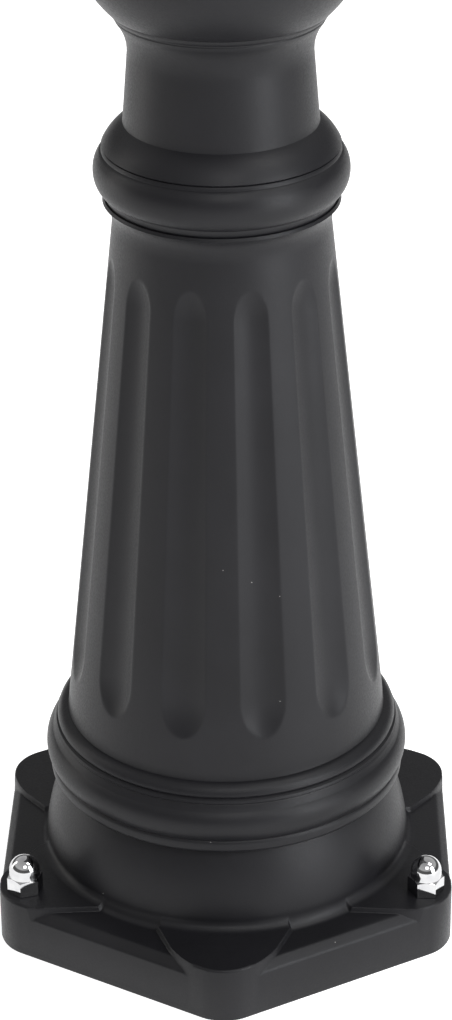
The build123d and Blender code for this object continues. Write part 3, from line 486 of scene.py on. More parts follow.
def edge_distance(x, y):
    """How far inside the foot's outline a point is; x points at the corner."""
    y = abs(y)
    along = (x - CORNER_CENTRE) * -0.5 + y * cos(radians(30))
    if along > 0:
        return FOOT_APOTHEM - x * cos(radians(30)) - y * 0.5
    return FOOT_CORNER_R - hypot(x - CORNER_CENTRE, y)


def pad_share(x, y, inside, kind):
    """1 on the raised pad, 0 in the pocket, and a steep slope between."""
    half, run, corner = PAD_SIDES[kind]
    wall = (abs(y) - half + run * (x - PAD_MEASURE_X)) * cos(atan(run))
    rim = -inside - WALL_WIDTH / 2 - RIM_MARGIN
    a, b = wall + corner, rim + corner
    distance = hypot(max(a, 0), max(b, 0)) + min(max(a, b), 0) - corner
    t = min(1.0, max(0.0, 0.5 - distance / WALL_WIDTH))
    return t * t * (3 - 2 * t)


def foot_height(x, y, inside, kind):
    """Height of the foot's top at a point this far inside the outline."""
    slope = FOOT_EDGE_Z + (POCKET_Z - FOOT_EDGE_Z) * inside / BEVEL_RUN
    pocket = (slope + POCKET_Z - sqrt((slope - POCKET_Z) ** 2 + SLOPE_BLEND)) / 2
    return pocket + (PAD_Z - pocket) * pad_share(x, y, inside, kind)


def wall_angle(radius, kind):
    """Angle from the pad's middle to its side wall at this radius."""
    half, run = PAD_SIDES[kind][:2]
    return asin((half + PAD_MEASURE_X * run) * cos(atan(run)) / radius) - atan(run)


FINE_REACH = 6  # millimetres each side of a wall that get the closer columns


def foot_angles(radius, kind):
    """Angles over half a sector, close together near the pad's side wall."""
    wall = wall_angle(radius, kind)
    near = FINE_REACH / radius
    stops = ((0, wall - near, 14), (wall - near, wall + near, 32), (wall + near, radians(30), 12))
    return [low + (high - low) * k / count for low, high, count in stops for k in range(count)]


def foot_row(radius_for_angles, point):
    """One ring of the foot: point(angle, kind) gives (radius, height) from a corner's direction."""
    row = []
    for sector in range(6):
        turn = radians(30 + 60 * sector)
        kind = sector % 2
        for a in foot_angles(radius_for_angles, kind) + [radians(30)]:
            radius, height = point(a, kind)
            row.append(polar(radius, turn + a, height))
        for a in reversed(foot_angles(radius_for_angles, 1 - kind)[1:]):
            radius, height = point(-a, 1 - kind)
            row.append(polar(radius, turn + radians(60) - a, height))
    return row


def foot_top(angle, inset_by, kind):
    """Radius and height on the foot's top at this angle, this far inside the outline."""
    radius = foot_radius(angle, inset_by)
    return radius, foot_height(radius * cos(angle), radius * sin(angle), inset_by, kind)


OUTER = 137
BOTTOM_EDGE_R = 1.2
foot_rows = []
for r, z in ((84, FOOT_TOP_Z), (84, 80), (100, 30), (100, 0)):
    foot_rows.append(foot_row(OUTER, lambda a, kind, r=r, z=z: (r, z)))
for down in (90, 45, 0):
    inward = BOTTOM_EDGE_R * (1 - cos(radians(down)))
    lift = BOTTOM_EDGE_R * (1 - sin(radians(down)))
    foot_rows.append(foot_row(OUTER, lambda a, kind, d=inward, z=lift: (foot_radius(a, d), z)))


# The upper edge's radius beside a pocket, and how much more it is on a pad.
EDGE_R_POCKET = 0.9
EDGE_R_MORE = 0.7


def foot_edge(angle, turn, kind):
    """The rounded upper edge: turn goes from 0 at the upright wall to 90 on top."""
    top_z = foot_top(angle, EDGE_R_POCKET + EDGE_R_MORE, kind)[1]
    radius = EDGE_R_POCKET + EDGE_R_MORE * (top_z - FOOT_EDGE_Z) / (PAD_Z - FOOT_EDGE_Z)
    inside = radius * (1 - cos(radians(turn)))
    r, z = foot_top(angle, inside, kind)
    return r, z - radius * (1 - sin(radians(turn)))


for turn in (0, 15, 30, 45, 60, 75, 90):
    foot_rows.append(foot_row(OUTER, lambda a, kind, t=turn: foot_edge(a, t, kind)))
BEVEL_START = 1.9
BEVEL_END = 7.0
BEVEL_STEPS = 13
for k in range(BEVEL_STEPS):
    inside = BEVEL_START + (BEVEL_END - BEVEL_START) * k / (BEVEL_STEPS - 1)
    foot_rows.append(foot_row(OUTER - 0.6 * inside, lambda a, kind, d=inside: foot_top(a, d, kind)))
FLOOR_STEPS = 40
FLOOR_START = BEVEL_END
SKIRT_FOOT_R = SKIRT_R + SKIRT_FILLET
for k in range(1, FLOOR_STEPS + 1):
    share = k / FLOOR_STEPS

    def floor_point(a, kind, share=share):
        outer = foot_radius(a, FLOOR_START)
        radius = outer + (SKIRT_FOOT_R - outer) * share
        x, y = radius * cos(a), radius * sin(a)
        return radius, foot_height(x, y, edge_distance(x, y), kind)

    near_r = OUTER - 4 + (SKIRT_FOOT_R - OUTER + 4) * share
    foot_rows.append(foot_row(near_r, floor_point))


def skirt_foot(a, kind, out, up):
    """Radius and height on the fillet at the skirt's foot."""
    x, y = SKIRT_FOOT_R * cos(a), SKIRT_FOOT_R * sin(a)
    low = foot_height(x, y, edge_distance(x, y), kind)
    return SKIRT_R + out, low + (PAD_Z - low) * up / SKIRT_FILLET + up


for turn in (15, 30, 45, 60, 75, 90):
    out = SKIRT_FILLET * (1 - sin(radians(turn)))
    up = SKIRT_FILLET * (1 - cos(radians(turn)))
    foot_rows.append(foot_row(SKIRT_FOOT_R, lambda a, kind, o=out, u=up: skirt_foot(a, kind, o, u)))
skirt_line = arc((SKIRT_R, PAD_Z + SKIRT_FILLET + 1), (100.6, 61.4), (92.1, 81.2), 18)
lip = [(93, 81.45), (95, 81.6), (99.2, 81.9)]
band = [(100.3, 82.3), (101, 83.1), (101.15, 84), (101.15, 87.3), (100.7, 88.5), (100, FOOT_TOP_Z)]
for r, z in skirt_line + lip + band:
    foot_rows.append(foot_row(SKIRT_FOOT_R, lambda a, kind, r=r, z=z: (r, z)))
Shape().grid(foot_rows).paint("foot_casting", "base_casting")


# ---------------------------------------------------------------- cap nuts
def hex_radius(angle, across):
    """Distance to a hexagon's side at this angle in radians."""
    return across / 2 / cos((angle + pi / 6) % (pi / 3) - pi / 6)


def hex_rows(across, low, high, chamfer_r, turn, steps=144):
    """Rings up a nut's sides, with the corners turned off to chamfer_r at the top."""
    angles = [2 * pi * k / steps for k in range(steps)]
    sides = [hex_radius(a, across) - 0.03 for a in angles]
    levels = (
        [(side - 0.3, low) for side in sides],
        [(side, low + 0.25) for side in sides],
        [(side, high - (max(0.0, side - chamfer_r) * tan(radians(30)) + 0.05)) for side in sides],
        [(min(side - 0.15, chamfer_r), high) for side in sides],
    )
    return [[polar(r, a + turn, z) for a, (r, z) in zip(angles, row)] for row in levels]


def shifted(rows, dx, dy):
    return [[(x + dx, y + dy, z) for x, y, z in row] for row in rows]


def ring(radius, z, steps=144):
    """A circle of points about the post's axis."""
    return [polar(radius, 2 * pi * k / steps, z) for k in range(steps)]


NUT_ACROSS = 18
NUT_HEX_TOP_Z = PAD_Z + 10
NUT_CHAMFER_R = 8.85
NUT_DOME_R = 8.7
NUT_DOME_Z = PAD_Z + 13.25
# Each nut's place on the anchor circle, and how far it has been turned in tightening.
NUT_TURNS = ((90, 0), (210, -11), (330, 30))
nuts = Shape()
for angle, turn in NUT_TURNS:
    rows = hex_rows(NUT_ACROSS, PAD_Z, NUT_HEX_TOP_Z, NUT_CHAMFER_R, radians(turn))
    rows += [ring(8.75, PAD_Z + 10.02), ring(NUT_DOME_R, PAD_Z + 10.2), ring(NUT_DOME_R, PAD_Z + 12.6)]
    for k in range(17):
        rise = radians(88 * k / 16)
        rows.append(ring(NUT_DOME_R * cos(rise), NUT_DOME_Z + NUT_DOME_R * sin(rise)))
    rows = shifted(rows, *polar(NUT_CIRCLE_R, radians(angle), 0)[:2])
    nuts.grid(rows, closed_rows=False)
    nuts.cap(rows[0], flip=True)
    nuts.cap(rows[-1])
nuts.make("anchor_cap_nuts", CHROME, "post", "bright_nut", ["cap_nuts"], sharp=28)


# ---------------------------------------------------------------- fluted shaft
def flute_depth(angle, radius, z):
    """Depth of the flute at this angle in degrees and height."""
    across = ((angle + 30) % 30 - 15) / FLUTE_HALF
    below = max(0.0, (FLUTE_ENDS[0] - z) / FLUTE_END_REACH[0])
    above = max(0.0, (z - FLUTE_ENDS[1]) / FLUTE_END_REACH[1])
    depth = FLUTE_DEPTH_RATIO * radius * (1 - across * across - below * below - above * above)
    return (depth + sqrt(depth * depth + 0.03)) / 2 if depth > -3 else 0.0


def flute_columns():
    """Angles in degrees over one flute's sector, close together at its two edges."""
    out = []
    for low, high, count in ((0, 5, 5), (5, 9, 9), (9, 21, 12), (21, 25, 9), (25, 30, 5)):
        out += [low + (high - low) * k / count for k in range(count)]
    return out


def spaced(start, end, step):
    """Evenly spaced values from start up to, but not including, end."""
    count = max(1, ceil(abs(end - start) / step))
    return [start + (end - start) * k / count for k in range(count)]


torus = oval((92.1, 97.8), (11.3, 12.5), -43.2, 50, 22)
shoulder = oval((89.7, 114.4), (7.2, 7.35), 12, 84, 12)
outer = torus + [(98.4, 110.2), (97.6, 111.4), (98.2, 112.2), (97.5, 113.5), (95.8, 114.4), (96.5, 115.2)]
outer += shoulder + [(90, 123.3), (89.8, 126.1)]
heights = spaced(SHAFT_FOOT[1], 143, 3) + spaced(143, 177, 0.9) + spaced(177, 377, 5)
heights += spaced(377, 405, 0.8) + spaced(405, SHAFT_HEAD[1], 3) + [SHAFT_HEAD[1]]
fall = (SHAFT_HEAD[0] - SHAFT_FOOT[0]) / (SHAFT_HEAD[1] - SHAFT_FOOT[1])
outer += [(SHAFT_FOOT[0] + fall * (z - SHAFT_FOOT[1]), z) for z in heights]
outer += arc((58.6, 420.8), (60.1, 426.4), (63.4, 430.8), 7)[1:]
bore = [(49.5, 432.4), (49.5, 419), (80.7, 128.8), (84, 112), (84, FOOT_TOP_Z)]
loop = outer + [(62.6, 432.4)] + bore + [(99.7, FOOT_TOP_Z)]
columns = [30 * k + a for k in range(12) for a in flute_columns()]
rows = []
for r, z in loop:
    outside = r > 0.9 * (SHAFT_FOOT[0] + fall * (z - SHAFT_FOOT[1])) - 4
    fluted = outside and SHAFT_FOOT[1] <= z <= SHAFT_HEAD[1]
    row = []
    for a in columns:
        radius = r - flute_depth(a, r, z) if fluted else r
        row.append(polar(radius, radians(a), z))
    rows.append(row)
Shape().grid(rows).paint("fluted_shaft", "shaft_casting")

# ---------------------------------------------------------------- neck, cup and ring
collar = oval((60.2, 447.6), (7.9, 11.9), -68, 48, 22)
neck = collar + [(64.9, 457.5), (64, 458.4), (63.6, 458.6), (63.4, 459.6), (62.8, 460.6), (62.2, 460.9)]
neck += oval((34.3, 448), (32.3, 31.5), 26, 57, 14)
neck += arc((51.7, 475.6), (49.8, 498.7), (48.7, 512.5), 12)
neck += arc((48.7, 512.5), (49.9, 521.6), (53.6, 529.2), 10)[1:]
neck += [(54.6, 530.6), (55.3, 532), (55.2, 532.5)]
neck += [(41, 532.5), (41, 472.2), (50, 442.6), (50, 432.4), (61.5, 432.4)]
Shape().turned(neck, 288).paint("neck_casting_look", "neck_casting")

cup = [(55.2, 532.5), (55.4, 533.1), (56.4, 533.8), (57.3, 535.4), (57.5, 536.2), (58, 536.4)]
cup += arc((58.8, 537), (68.2, 548.6), (77.5, 568.5), 16)
cup += arc((77.5, 568.5), (79.5, 571.6), (77.5, 574.6), 8)[1:]
cup += soften([(77.5, 574.6), (70.2, 576.7), (69.2, 577.3)], 0.6, closed=False)[1:]
cup += arc((69.2, 577.7), (55.1, 584.8), (48.4, 601), 14)
cup += [(48, 605), (38.4, 605), (38.4, 590), (25.5, 590), (25.5, 580)]
cup += [(45, 578), (60, 560), (45, 543), (45, 532.5)]
Shape().turned(cup, 240).paint("cup_casting_look", "cup_casting")

ring_line = arc((45.2, 605.1), (48.5, 610), (45, 615), 14)
ring_line += arc((45, 615), (44.2, 619.5), (40.5, 623), 8)[1:] + [(38.4, 623), (38.4, 605.1)]
Shape().turned(ring_line, 192).paint("pole_ring_look", "pole_ring")

# ---------------------------------------------------------------- fluted pole
POLE_R = 38
POLE_BORE_R = 33
POLE_FLUTE_R = 4.8
POLE_FLUTE_CENTRE_R = 40.6
POLE_STEPS = 720
pole_row = []
for k in range(POLE_STEPS):
    a = 2 * pi * k / POLE_STEPS
    off = (a - radians(15) + pi / 12) % (pi / 6) - pi / 12
    across = POLE_FLUTE_CENTRE_R * sin(off)
    cut = 60  # well outside the pole, where there is no flute
    if abs(across) < POLE_FLUTE_R:
        cut = POLE_FLUTE_CENTRE_R * cos(off) - sqrt(POLE_FLUTE_R**2 - across**2)
    radius = (cut + POLE_R - sqrt((cut - POLE_R) ** 2 + 0.06)) / 2
    pole_row.append((radius, a))
rows = [[polar(r, a, z) for r, a in pole_row] for z in (590, 900, 1200, 1530)]
rows += [[polar(POLE_BORE_R, a, z) for r, a in pole_row] for z in (1530, 590)]
Shape().grid(rows).paint("fluted_pole", "pole_tube")

# ---------------------------------------------------------------- capital
capital = arc((43, 1480), (48, 1486), (44, 1492), 12)
capital += arc((44, 1492), (42.6, 1500), (44, 1508), 8)[1:]
capital += arc((44, 1508), (49, 1512), (44.5, 1516), 10)[1:]
capital += arc((44.5, 1516), (51, 1546), (66, 1564), 18)[1:]
capital += soften(
    [(66, 1568), (72.2, 1569), (73, 1570), (73, 1582), (72, 1583), (64, 1584), (62, 1599.6)],
    0.9,
    closed=False,
)
capital += [(61, 1600), (39, 1600), (39, 1565), (25.5, 1565), (25.5, 1530), (38.4, 1530), (38.4, 1480)]
Shape().turned(capital, 216).paint("capital_look", "capital_casting")


# ---------------------------------------------------------------- saddle and finial plinth
def drum_height(x):
    """Height above the drum's axis of a surface just clear of its wall."""
    return sqrt((CASE_R + 0.05) ** 2 - x * x)


def through(z, stations):
    """Smooth value at z through three (z, value) stations."""
    (z0, v0), (z1, v1), (z2, v2) = stations
    a = v0 * (z - z1) * (z - z2) / ((z0 - z1) * (z0 - z2))
    b = v1 * (z - z0) * (z - z2) / ((z1 - z0) * (z1 - z2))
    return a + b + v2 * (z - z0) * (z - z1) / ((z2 - z0) * (z2 - z1))


SECTION_ANGLES = [2 * pi * k / 192 for k in range(192)]


def section_row(half_x, half_y, corner, z):
    """A rounded rectangle of points at one height."""
    return [polar(box_radius(half_x, half_y, corner, a), a, z) for a in SECTION_ANGLES]


SADDLE_TOP_Z = 1682
SADDLE_NECK_Z = 1612.5
flange = [(24, 1600), (59.2, 1600), (60, 1600.8), (60, 1610.2), (59.2, 1611), (40, 1611), (37.2, 1611.5)]
rows = [ring(r, z, 192) for r, z in flange]
for k in range(25):
    z = SADDLE_NECK_Z + (SADDLE_TOP_Z - SADDLE_NECK_Z) * k / 24
    half_x = through(z, ((1611, 36), (1652, 42), (SADDLE_TOP_Z, 76)))
    half_y = through(z, ((1611, 36), (1652, 38), (SADDLE_TOP_Z, 50)))
    corner = through(z, ((1611, 34), (1652, 30), (SADDLE_TOP_Z, 20)))
    rows.append(section_row(half_x, half_y, min(corner, half_x - 0.5, half_y - 0.5), z))
for share in (0.25, 0.5, 0.75, 1.0):
    row = section_row(76, 50, 20, 0)
    rows.append(
        [(x, y, SADDLE_TOP_Z + (HEAD_Z - drum_height(x) - 0.3 - SADDLE_TOP_Z) * share) for x, y, _ in row]
    )
rows.append([(x, y, HEAD_Z - drum_height(x)) for x, y, _ in section_row(75.4, 49.4, 19.4, 0)])
rows.append([(x, y, HEAD_Z - drum_height(x)) for x, y, _ in section_row(24, 24, 23.9, 0)])
Shape().grid(rows).paint("saddle_look", "saddle_casting")

PLINTH_SIDE_Z = 2126
PLINTH_NECK_Z = 2150
rows = [[(x, y, HEAD_Z + drum_height(x)) for x, y, _ in section_row(5.1, 5.1, 5, 0)]]
rows += [[(x, y, HEAD_Z + drum_height(x)) for x, y, _ in section_row(54.4, 32.4, 13.6, 0)]]
rows += [[(x, y, HEAD_Z + drum_height(x) + 0.5) for x, y, _ in section_row(54.9, 32.9, 14, 0)]]
for k in range(1, 19):
    share = k / 18
    z = PLINTH_SIDE_Z + (PLINTH_NECK_Z - PLINTH_SIDE_Z) * share
    half_x = through(z, ((2108, 55), (2138, 38), (PLINTH_NECK_Z, 22)))
    half_y = through(z, ((2108, 33), (2138, 28), (PLINTH_NECK_Z, 22)))
    corner = through(z, ((2108, 14), (2138, 20), (PLINTH_NECK_Z, 21.5)))
    row = section_row(half_x, half_y, min(corner, half_x - 0.3, half_y - 0.3), z)
    if k == 1:
        # Two more rings ease the drum's curve into the plinth's level lowest ring.
        for lift in (0.33, 0.66):
            wide_x, wide_y = 1 + 0.06 * (1 - lift), 1 + 0.04 * (1 - lift)
            eased = []
            for x, y, z in row:
                base = HEAD_Z + drum_height(x)
                eased.append((x * wide_x, y * wide_y, base + 0.5 + (z - HEAD_Z - drum_height(x)) * lift))
            rows.append(eased)
    rows.append(row)
disc = [(26.4, 2150.4), (27, 2151.2), (27, 2161.2), (26.2, 2162), (5.1, 2162)]
rows += [ring(r, z, 192) for r, z in disc]
Shape().grid(rows).paint("finial_plinth_look", "finial_base")

spire = [(0.05, 2162), (21.3, 2162), (22, 2162.7), (22, 2165.4), (21.2, 2166.2)]
spire += arc((20.6, 2166.3), (12, 2170), (8, 2179), 12)
spire += arc((8, 2179), (23, 2200), (9, 2220), 28)[1:]
spire += arc((9, 2220), (14, 2223), (9, 2226), 12)[1:]
spire += arc((9, 2226), (13, 2242), (6, 2262), 16)[1:]
spire += [(3.6, 2275), (1.3, 2287), (0.7, 2289.5), (0.05, 2290)]
Shape().turned_solid(spire, 128).paint("finial_spire_look", "finial_spire")

# ---------------------------------------------------------------- scroll brackets
STEP_MM = 2.0


def trace(start, heading, moves):
    """Follow straights (0, length) and arcs (radius, signed degrees) from a point."""
    x, z = start
    out = [(x, z, heading)]
    for radius, amount in moves:
        if radius == 0:
            x, z = x + amount * cos(radians(heading)), z + amount * sin(radians(heading))
            out.append((x, z, heading))
            continue
        count = max(8, ceil(radius * radians(abs(amount)) / STEP_MM))
        side = 1 if amount > 0 else -1
        cx = x - side * radius * sin(radians(heading))
        cz = z + side * radius * cos(radians(heading))
        for k in range(1, count + 1):
            turned = heading + amount * k / count
            dx, dz = side * radius * sin(radians(turned)), side * radius * cos(radians(turned))
            out.append((cx + dx, cz - dz, turned))
        x, z, heading = out[-1]
    return out


high_start = (
    SCROLL_BAR_R * sin(radians(SCROLL_ANGLE)),
    HEAD_Z - SCROLL_BAR_R * cos(radians(SCROLL_ANGLE)),
)
down_moves = [(SCROLL_BOW_R, 90 - SCROLL_ANGLE), (0, 9), (25, 190), (14, 200)]
down = trace(high_start, 180 + SCROLL_ANGLE, down_moves)
up = trace(high_start, SCROLL_ANGLE, [(0, 9), (22, -200), (12, -190)])
scroll_line = [(x, z, h + 180) for x, z, h in reversed(up[1:])] + down
bar = soften([(-7, -3.5), (7, -3.5), (7, 3.5), (-7, 3.5)], 1.3, 4)
travel = [0.0]
for (x0, z0, _), (x1, z1, _) in zip(scroll_line, scroll_line[1:]):
    travel.append(travel[-1] + hypot(x1 - x0, z1 - z0))


def scroll_rows(side):
    """Sections of the flat bar along the scroll, thinning towards its two ends."""
    rows = []
    for (x, z, heading), run in zip(scroll_line, travel):
        left = min(run, travel[-1] - run)
        grow = 0.72 + 0.28 * min(1.0, left / 90)
        grow *= sqrt(max(0.02, 1 - max(0.0, 1 - left / 4) ** 2))
        nx, nz = -sin(radians(heading)), cos(radians(heading))
        rows.append([(side * (x + v * grow * nx), side * u * grow, z + v * grow * nz) for u, v in bar])
    return rows


for side, name in ((1, "scroll_right"), (-1, "scroll_left")):
    rows = scroll_rows(side)
    shape = Shape().grid(rows, closed_rows=False).cap(rows[0], flip=True).cap(rows[-1])
    shape.paint(name + "_look", name)

# ---------------------------------------------------------------- drum case
FRONT, REAR = drum_frame(1), drum_frame(-1)
BARREL_R = 6
BARREL_BORE_R = 3.05
case_line = [(184, 0), (BEAD_R - 1.2, 0)]
case_line += arc((BEAD_R - 1.2, 0), (BEAD_R, -3.2), (BEAD_R - 1, -6.6), 10)[1:]
case_line += arc((BEAD_R - 1, -6.6), (CASE_R + 0.9, -7.8), (CASE_R, -10), 6)[1:]
back_line = [(r, -124 - t) for r, t in reversed(case_line)]
inside_line = [(184, -120), (219, -120), (219, -4), (184, -4)]
drum = Shape().turned(case_line + back_line + inside_line, 360, FRONT)


def upright(x, y, radius, low, high, bore, steps=40):
    """A hinge barrel: an upright tube with softened ends."""
    line = soften([(bore, low), (radius, low), (radius, high), (bore, high)], 0.7, 3)
    angles = [2 * pi * k / steps for k in range(steps)]
    return [[(x + r * cos(a), y + r * sin(a), z) for a in angles] for r, z in line]


def block(low, high, soft=0.8):
    """A small block with softened edges, as rings up its height."""
    (x0, y0, z0), (x1, y1, z1) = low, high
    out = []
    for z, shrink in ((z0, soft), (z0 + soft, 0), (z1 - soft, 0), (z1, soft)):
        corners = [
            (x0 + shrink, y0 + shrink),
            (x1 - shrink, y0 + shrink),
            (x1 - shrink, y1 - shrink),
            (x0 + shrink, y1 - shrink),
        ]
        out.append([(x, y, z) for x, y in soften(corners, soft, 3)])
    return out


def add_block(shape, low, high):
    """Add a closed softened block to a shape."""
    rows = block(low, high)
    shape.grid(rows, closed_rows=False).cap(rows[0], flip=True).cap(rows[-1])


for side in (1, -1):
    x, y = side * HINGE_X, side * CASE_FACE_Y
    drum.grid(upright(x, y, BARREL_R, HEAD_Z - 21.7, HEAD_Z + 21.7, BARREL_BORE_R))
    ends = sorted((x + side * 4.5, x + side * 15.5))
    wide = sorted((y + side * 0.3, y + side * 8))
    add_block(drum, (ends[0], wide[0], HEAD_Z - 21.7), (ends[1], wide[1], HEAD_Z + 21.7))
drum.paint("drum_case_look", "drum_case")


# ---------------------------------------------------------------- doors
BOTH_ENDS = ((1, FRONT, "front"), (-1, REAR, "rear"))
bezel_line = [(BEAD_R - 0.8, 0.4), (BEAD_R, 1.2), (BEAD_R, 13)]
bezel_line += arc((BEAD_R, 14), (223, 25.5), (214.6, 30.6), 16)
bezel_line += [(214.1, 31.1), (214, 32.2), (213.6, 32.9)]
bezel_line += arc((213.2, 33.2), (204, 39), (194, 38.7), 16)
bezel_line += [(192.4, 38.4), (189.4, 36.4), (189, 35.6), (189, 32.6), (198, 32.6)]
bezel_line += [(198, 25), (209, 25), (209, 0.4)]
KNOB_X = 216
pane_line = [(0.05, 28.2), (195.5, 28.2), (196, 28.7), (196, 30.7), (195.5, 31.2), (0.05, 31.2)]
gasket_line = [(191.2, 26.8), (197.8, 26.8), (197.8, 32.5), (190.4, 32.5), (190, 32.1), (190, 31.3)]
gasket_line += [(196.1, 31.3), (196.1, 28.1), (191, 28.1), (191, 27)]
for side, place, end in BOTH_ENDS:
    door = "door_" + end
    shape = Shape().turned(bezel_line, 360, place)
    x, y = side * HINGE_X, side * CASE_FACE_Y
    for low, high in ((22, 44), (-44, -22)):
        shape.grid(upright(x, y, BARREL_R, HEAD_Z + low, HEAD_Z + high, BARREL_BORE_R))
        ends = sorted((x + side * 4.5, x + side * 19))
        wide = sorted((y - side * 9.8, y - side * 0.6))
        add_block(shape, (ends[0], wide[0], HEAD_Z + low), (ends[1], wide[1], HEAD_Z + high))
    shape.paint("bezel_look_" + end, "bezel_" + end, door)
    Shape().turned_solid(pane_line, 240, place).make("pane_" + end, GLASS, door, "glass", ["glass_" + end])
    gasket = Shape().turned(gasket_line, 240, place)
    gasket.make("gasket_" + end, RUBBER, door, "rubber", ["glass_gasket_" + end])
    knob_line = [(0.05, 0.4), (3.6, 0.4), (4, 0.8), (4, 38.6)]
    knob_line += [(8 * cos(radians(k)), 46 + 8 * sin(radians(k))) for k in range(-58, 90, 6)] + [(0.05, 54)]

    def at_knob(rows, place=place):
        rows = np.asarray(rows, float) + np.array((KNOB_X, 0, 0))
        return place(rows)

    knob = Shape().turned_solid(knob_line, 64, at_knob)
    knob.make("knob_" + end, STAINLESS, door, "stainless", ["bezel_knob_" + end])

# ---------------------------------------------------------------- dials
TRACK_IN, TRACK_OUT = 172, 182
NUMERAL_IN, NUMERAL_OUT = 128, 162
NUMERALS = ("XII", "I", "II", "III", "IIII", "V", "VI", "VII", "VIII", "IX", "X", "XI")
THICK, THIN = 5.0, 1.7
LETTER_WIDTH = {"I": 9.0, "V": 19.0, "X": 19.0}


def stroke(x0, y0, x1, y1, width):
    """A straight stroke whose ends are level."""
    half = width / 2
    return [(x0 - half, y0), (x0 + half, y0), (x1 + half, y1), (x1 - half, y1)]


def letter(kind, x, height):
    """Strokes of one numeral letter with thin serifs, from its left edge x."""
    wide = LETTER_WIDTH[kind]
    mid = x + wide / 2
    low, high = THIN * 0.5, height - THIN * 0.5
    if kind == "I":
        parts = [stroke(mid, low, mid, high, THICK)]
        feet = [(mid, 0), (mid, height - THIN)]
    elif kind == "V":
        parts = [stroke(mid, low, x + 4.2, high, THICK), stroke(mid + 1, low, x + wide - 3.6, high, THIN)]
        feet = [(x + 4.2, height - THIN), (x + wide - 3.8, height - THIN)]
    else:
        left, right = x + 4, x + wide - 4
        parts = [stroke(x + wide - 4.2, low, x + 4.2, high, THICK)]
        parts.append(stroke(x + 3.8, low, x + wide - 3.8, high, THIN))
        feet = [(left, 0), (right, 0), (left, height - THIN), (right, height - THIN)]
    for fx, fy in feet:
        parts.append([(fx - 4, fy), (fx + 4, fy), (fx + 3.6, fy + THIN), (fx - 3.6, fy + THIN)])
    return parts


def turned_clock(points, angle, out):
    """Carry local points to the rim at this clockwise angle from 12."""
    c, s = cos(radians(angle)), sin(radians(angle))
    return [(x * c + (y + out) * s, -x * s + (y + out) * c) for x, y in points]


def ccw(points):
    """The same outline, counterclockwise."""
    pairs = zip([points[-1]] + list(points[:-1]), points)
    area = sum(ax * by - bx * ay for (ax, ay), (bx, by) in pairs)
    return points if area > 0 else list(reversed(points))


def dial_marks(place):
    """Chapter ring, minute marks and numerals, printed proud of the enamel."""
    shape = Shape()
    level = 2.0
    for radius, width in ((TRACK_IN, 0.9), (TRACK_OUT, 0.9), (118, 0.8)):
        outer, inner = circle(radius + width / 2, 240), circle(radius - width / 2, 240)
        shape.plate(outer, [list(reversed(inner))], level - 0.05, level + 0.10, place)
    for minute in range(60):
        width = 3.4 if minute % 5 == 0 else 1.1
        mark = [(-width / 2, 0.2), (width / 2, 0.2), (width / 2, 9.8), (-width / 2, 9.8)]
        shape.plate(ccw(turned_clock(mark, minute * 6, TRACK_IN)), [], level - 0.05, level + 0.12, place)
    for hour, text in enumerate(NUMERALS):
        total = sum(LETTER_WIDTH[c] for c in text)
        x = -total / 2
        k = 0
        for c in text:
            for part in letter(c, x, NUMERAL_OUT - NUMERAL_IN):
                k += 1
                outline = ccw(turned_clock(part, hour * 30, NUMERAL_IN))
                shape.plate(outline, [], level - 0.05, level + 0.10 + 0.006 * k, place)
            x += LETTER_WIDTH[c]
    return shape


def hand_outline(length, half_width, tail, hub):
    """Half of a leaf-shaped hand, from its tail end up to its tip, mirrored to a loop."""
    stem = half_width / 3
    ball = 2.2 * stem
    right = [(ball * sin(radians(k)), -tail - ball * cos(radians(k))) for k in range(0, 150, 10)]
    join = sqrt(hub * hub - stem * stem)
    right += [(1.35 * stem, -tail + ball + 1), (stem, -join - 1.2)]
    first = degrees(asin(stem / hub))
    hub_angles = np.linspace(first + 3, 177 - first, 18)
    right += [(hub * sin(radians(k)), -hub * cos(radians(k))) for k in hub_angles]
    right += [(stem, join + 1.2)]
    base = join + 4
    widest = 0.64  # how far along the blade it is widest
    for k in range(1, 21):
        t = k / 20
        y = base + (length - base) * t
        swell = (sin(pi * min(1, t / widest) / 2)) ** 1.7 if t < widest else 1
        close = 1 if t < widest else max(0.02, cos(pi / 2 * (t - widest) / 0.36)) ** 0.9
        right.append(((stem + (half_width - stem) * swell) * close, y))
    left = [(-x, y) for x, y in reversed(right[1:])]
    return right + left


def hand(name, node, body, place, length, half_width, tail, bore, angle, level):
    """A flat hand pointing at this clockwise angle from 12, with a hole for its arbor."""
    c, s = cos(radians(angle)), sin(radians(angle))
    outline = hand_outline(length, half_width, tail, bore + 6)
    outline = ccw([(x * c + y * s, -x * s + y * c) for x, y in outline])
    hole = list(reversed(circle(bore, 48)))
    shape = Shape().plate(outline, [hole], level, level + 1.5, place, edge=0.3)
    shape.make(name, HAND, body, "hand_black", [node])


for side, place, end in BOTH_ENDS:
    enamel_line = [(9.1, 0), (202.4, 0), (203, 0.5), (203, 1.5), (202.4, 2), (9.1, 2)]
    dial = Shape().turned(enamel_line, 240, place)
    dial.make("dial_look_" + end, ENAMEL, "post", "dial_enamel", ["dial_" + end])
    dial_marks(place).make("dial_marks_" + end, HAND, "post", "hand_black")
    hour, minute = "hour_hand_" + end, "minute_hand_" + end
    hand("hour_hand_look_" + end, hour, "hour_train_" + end, place, 112, 11, 30, 7.02, 305, 9)
    hand("minute_hand_look_" + end, minute, "minute_train_" + end, place, 165, 8, 42, 5.02, 60, 16)
    nut_line = [(0.05, 17.5), (7.6, 17.5), (8, 17.9), (8, 20.6)]
    nut_line += [(7.6, 21.4), (6.2, 22.6), (4, 23.3), (0.05, 23.5)]
    Shape().turned_solid(nut_line, 64, place).make(
        "hand_nut_look_" + end, BRASS, "minute_train_" + end, "brass", ["hand_nut_" + end]
    )

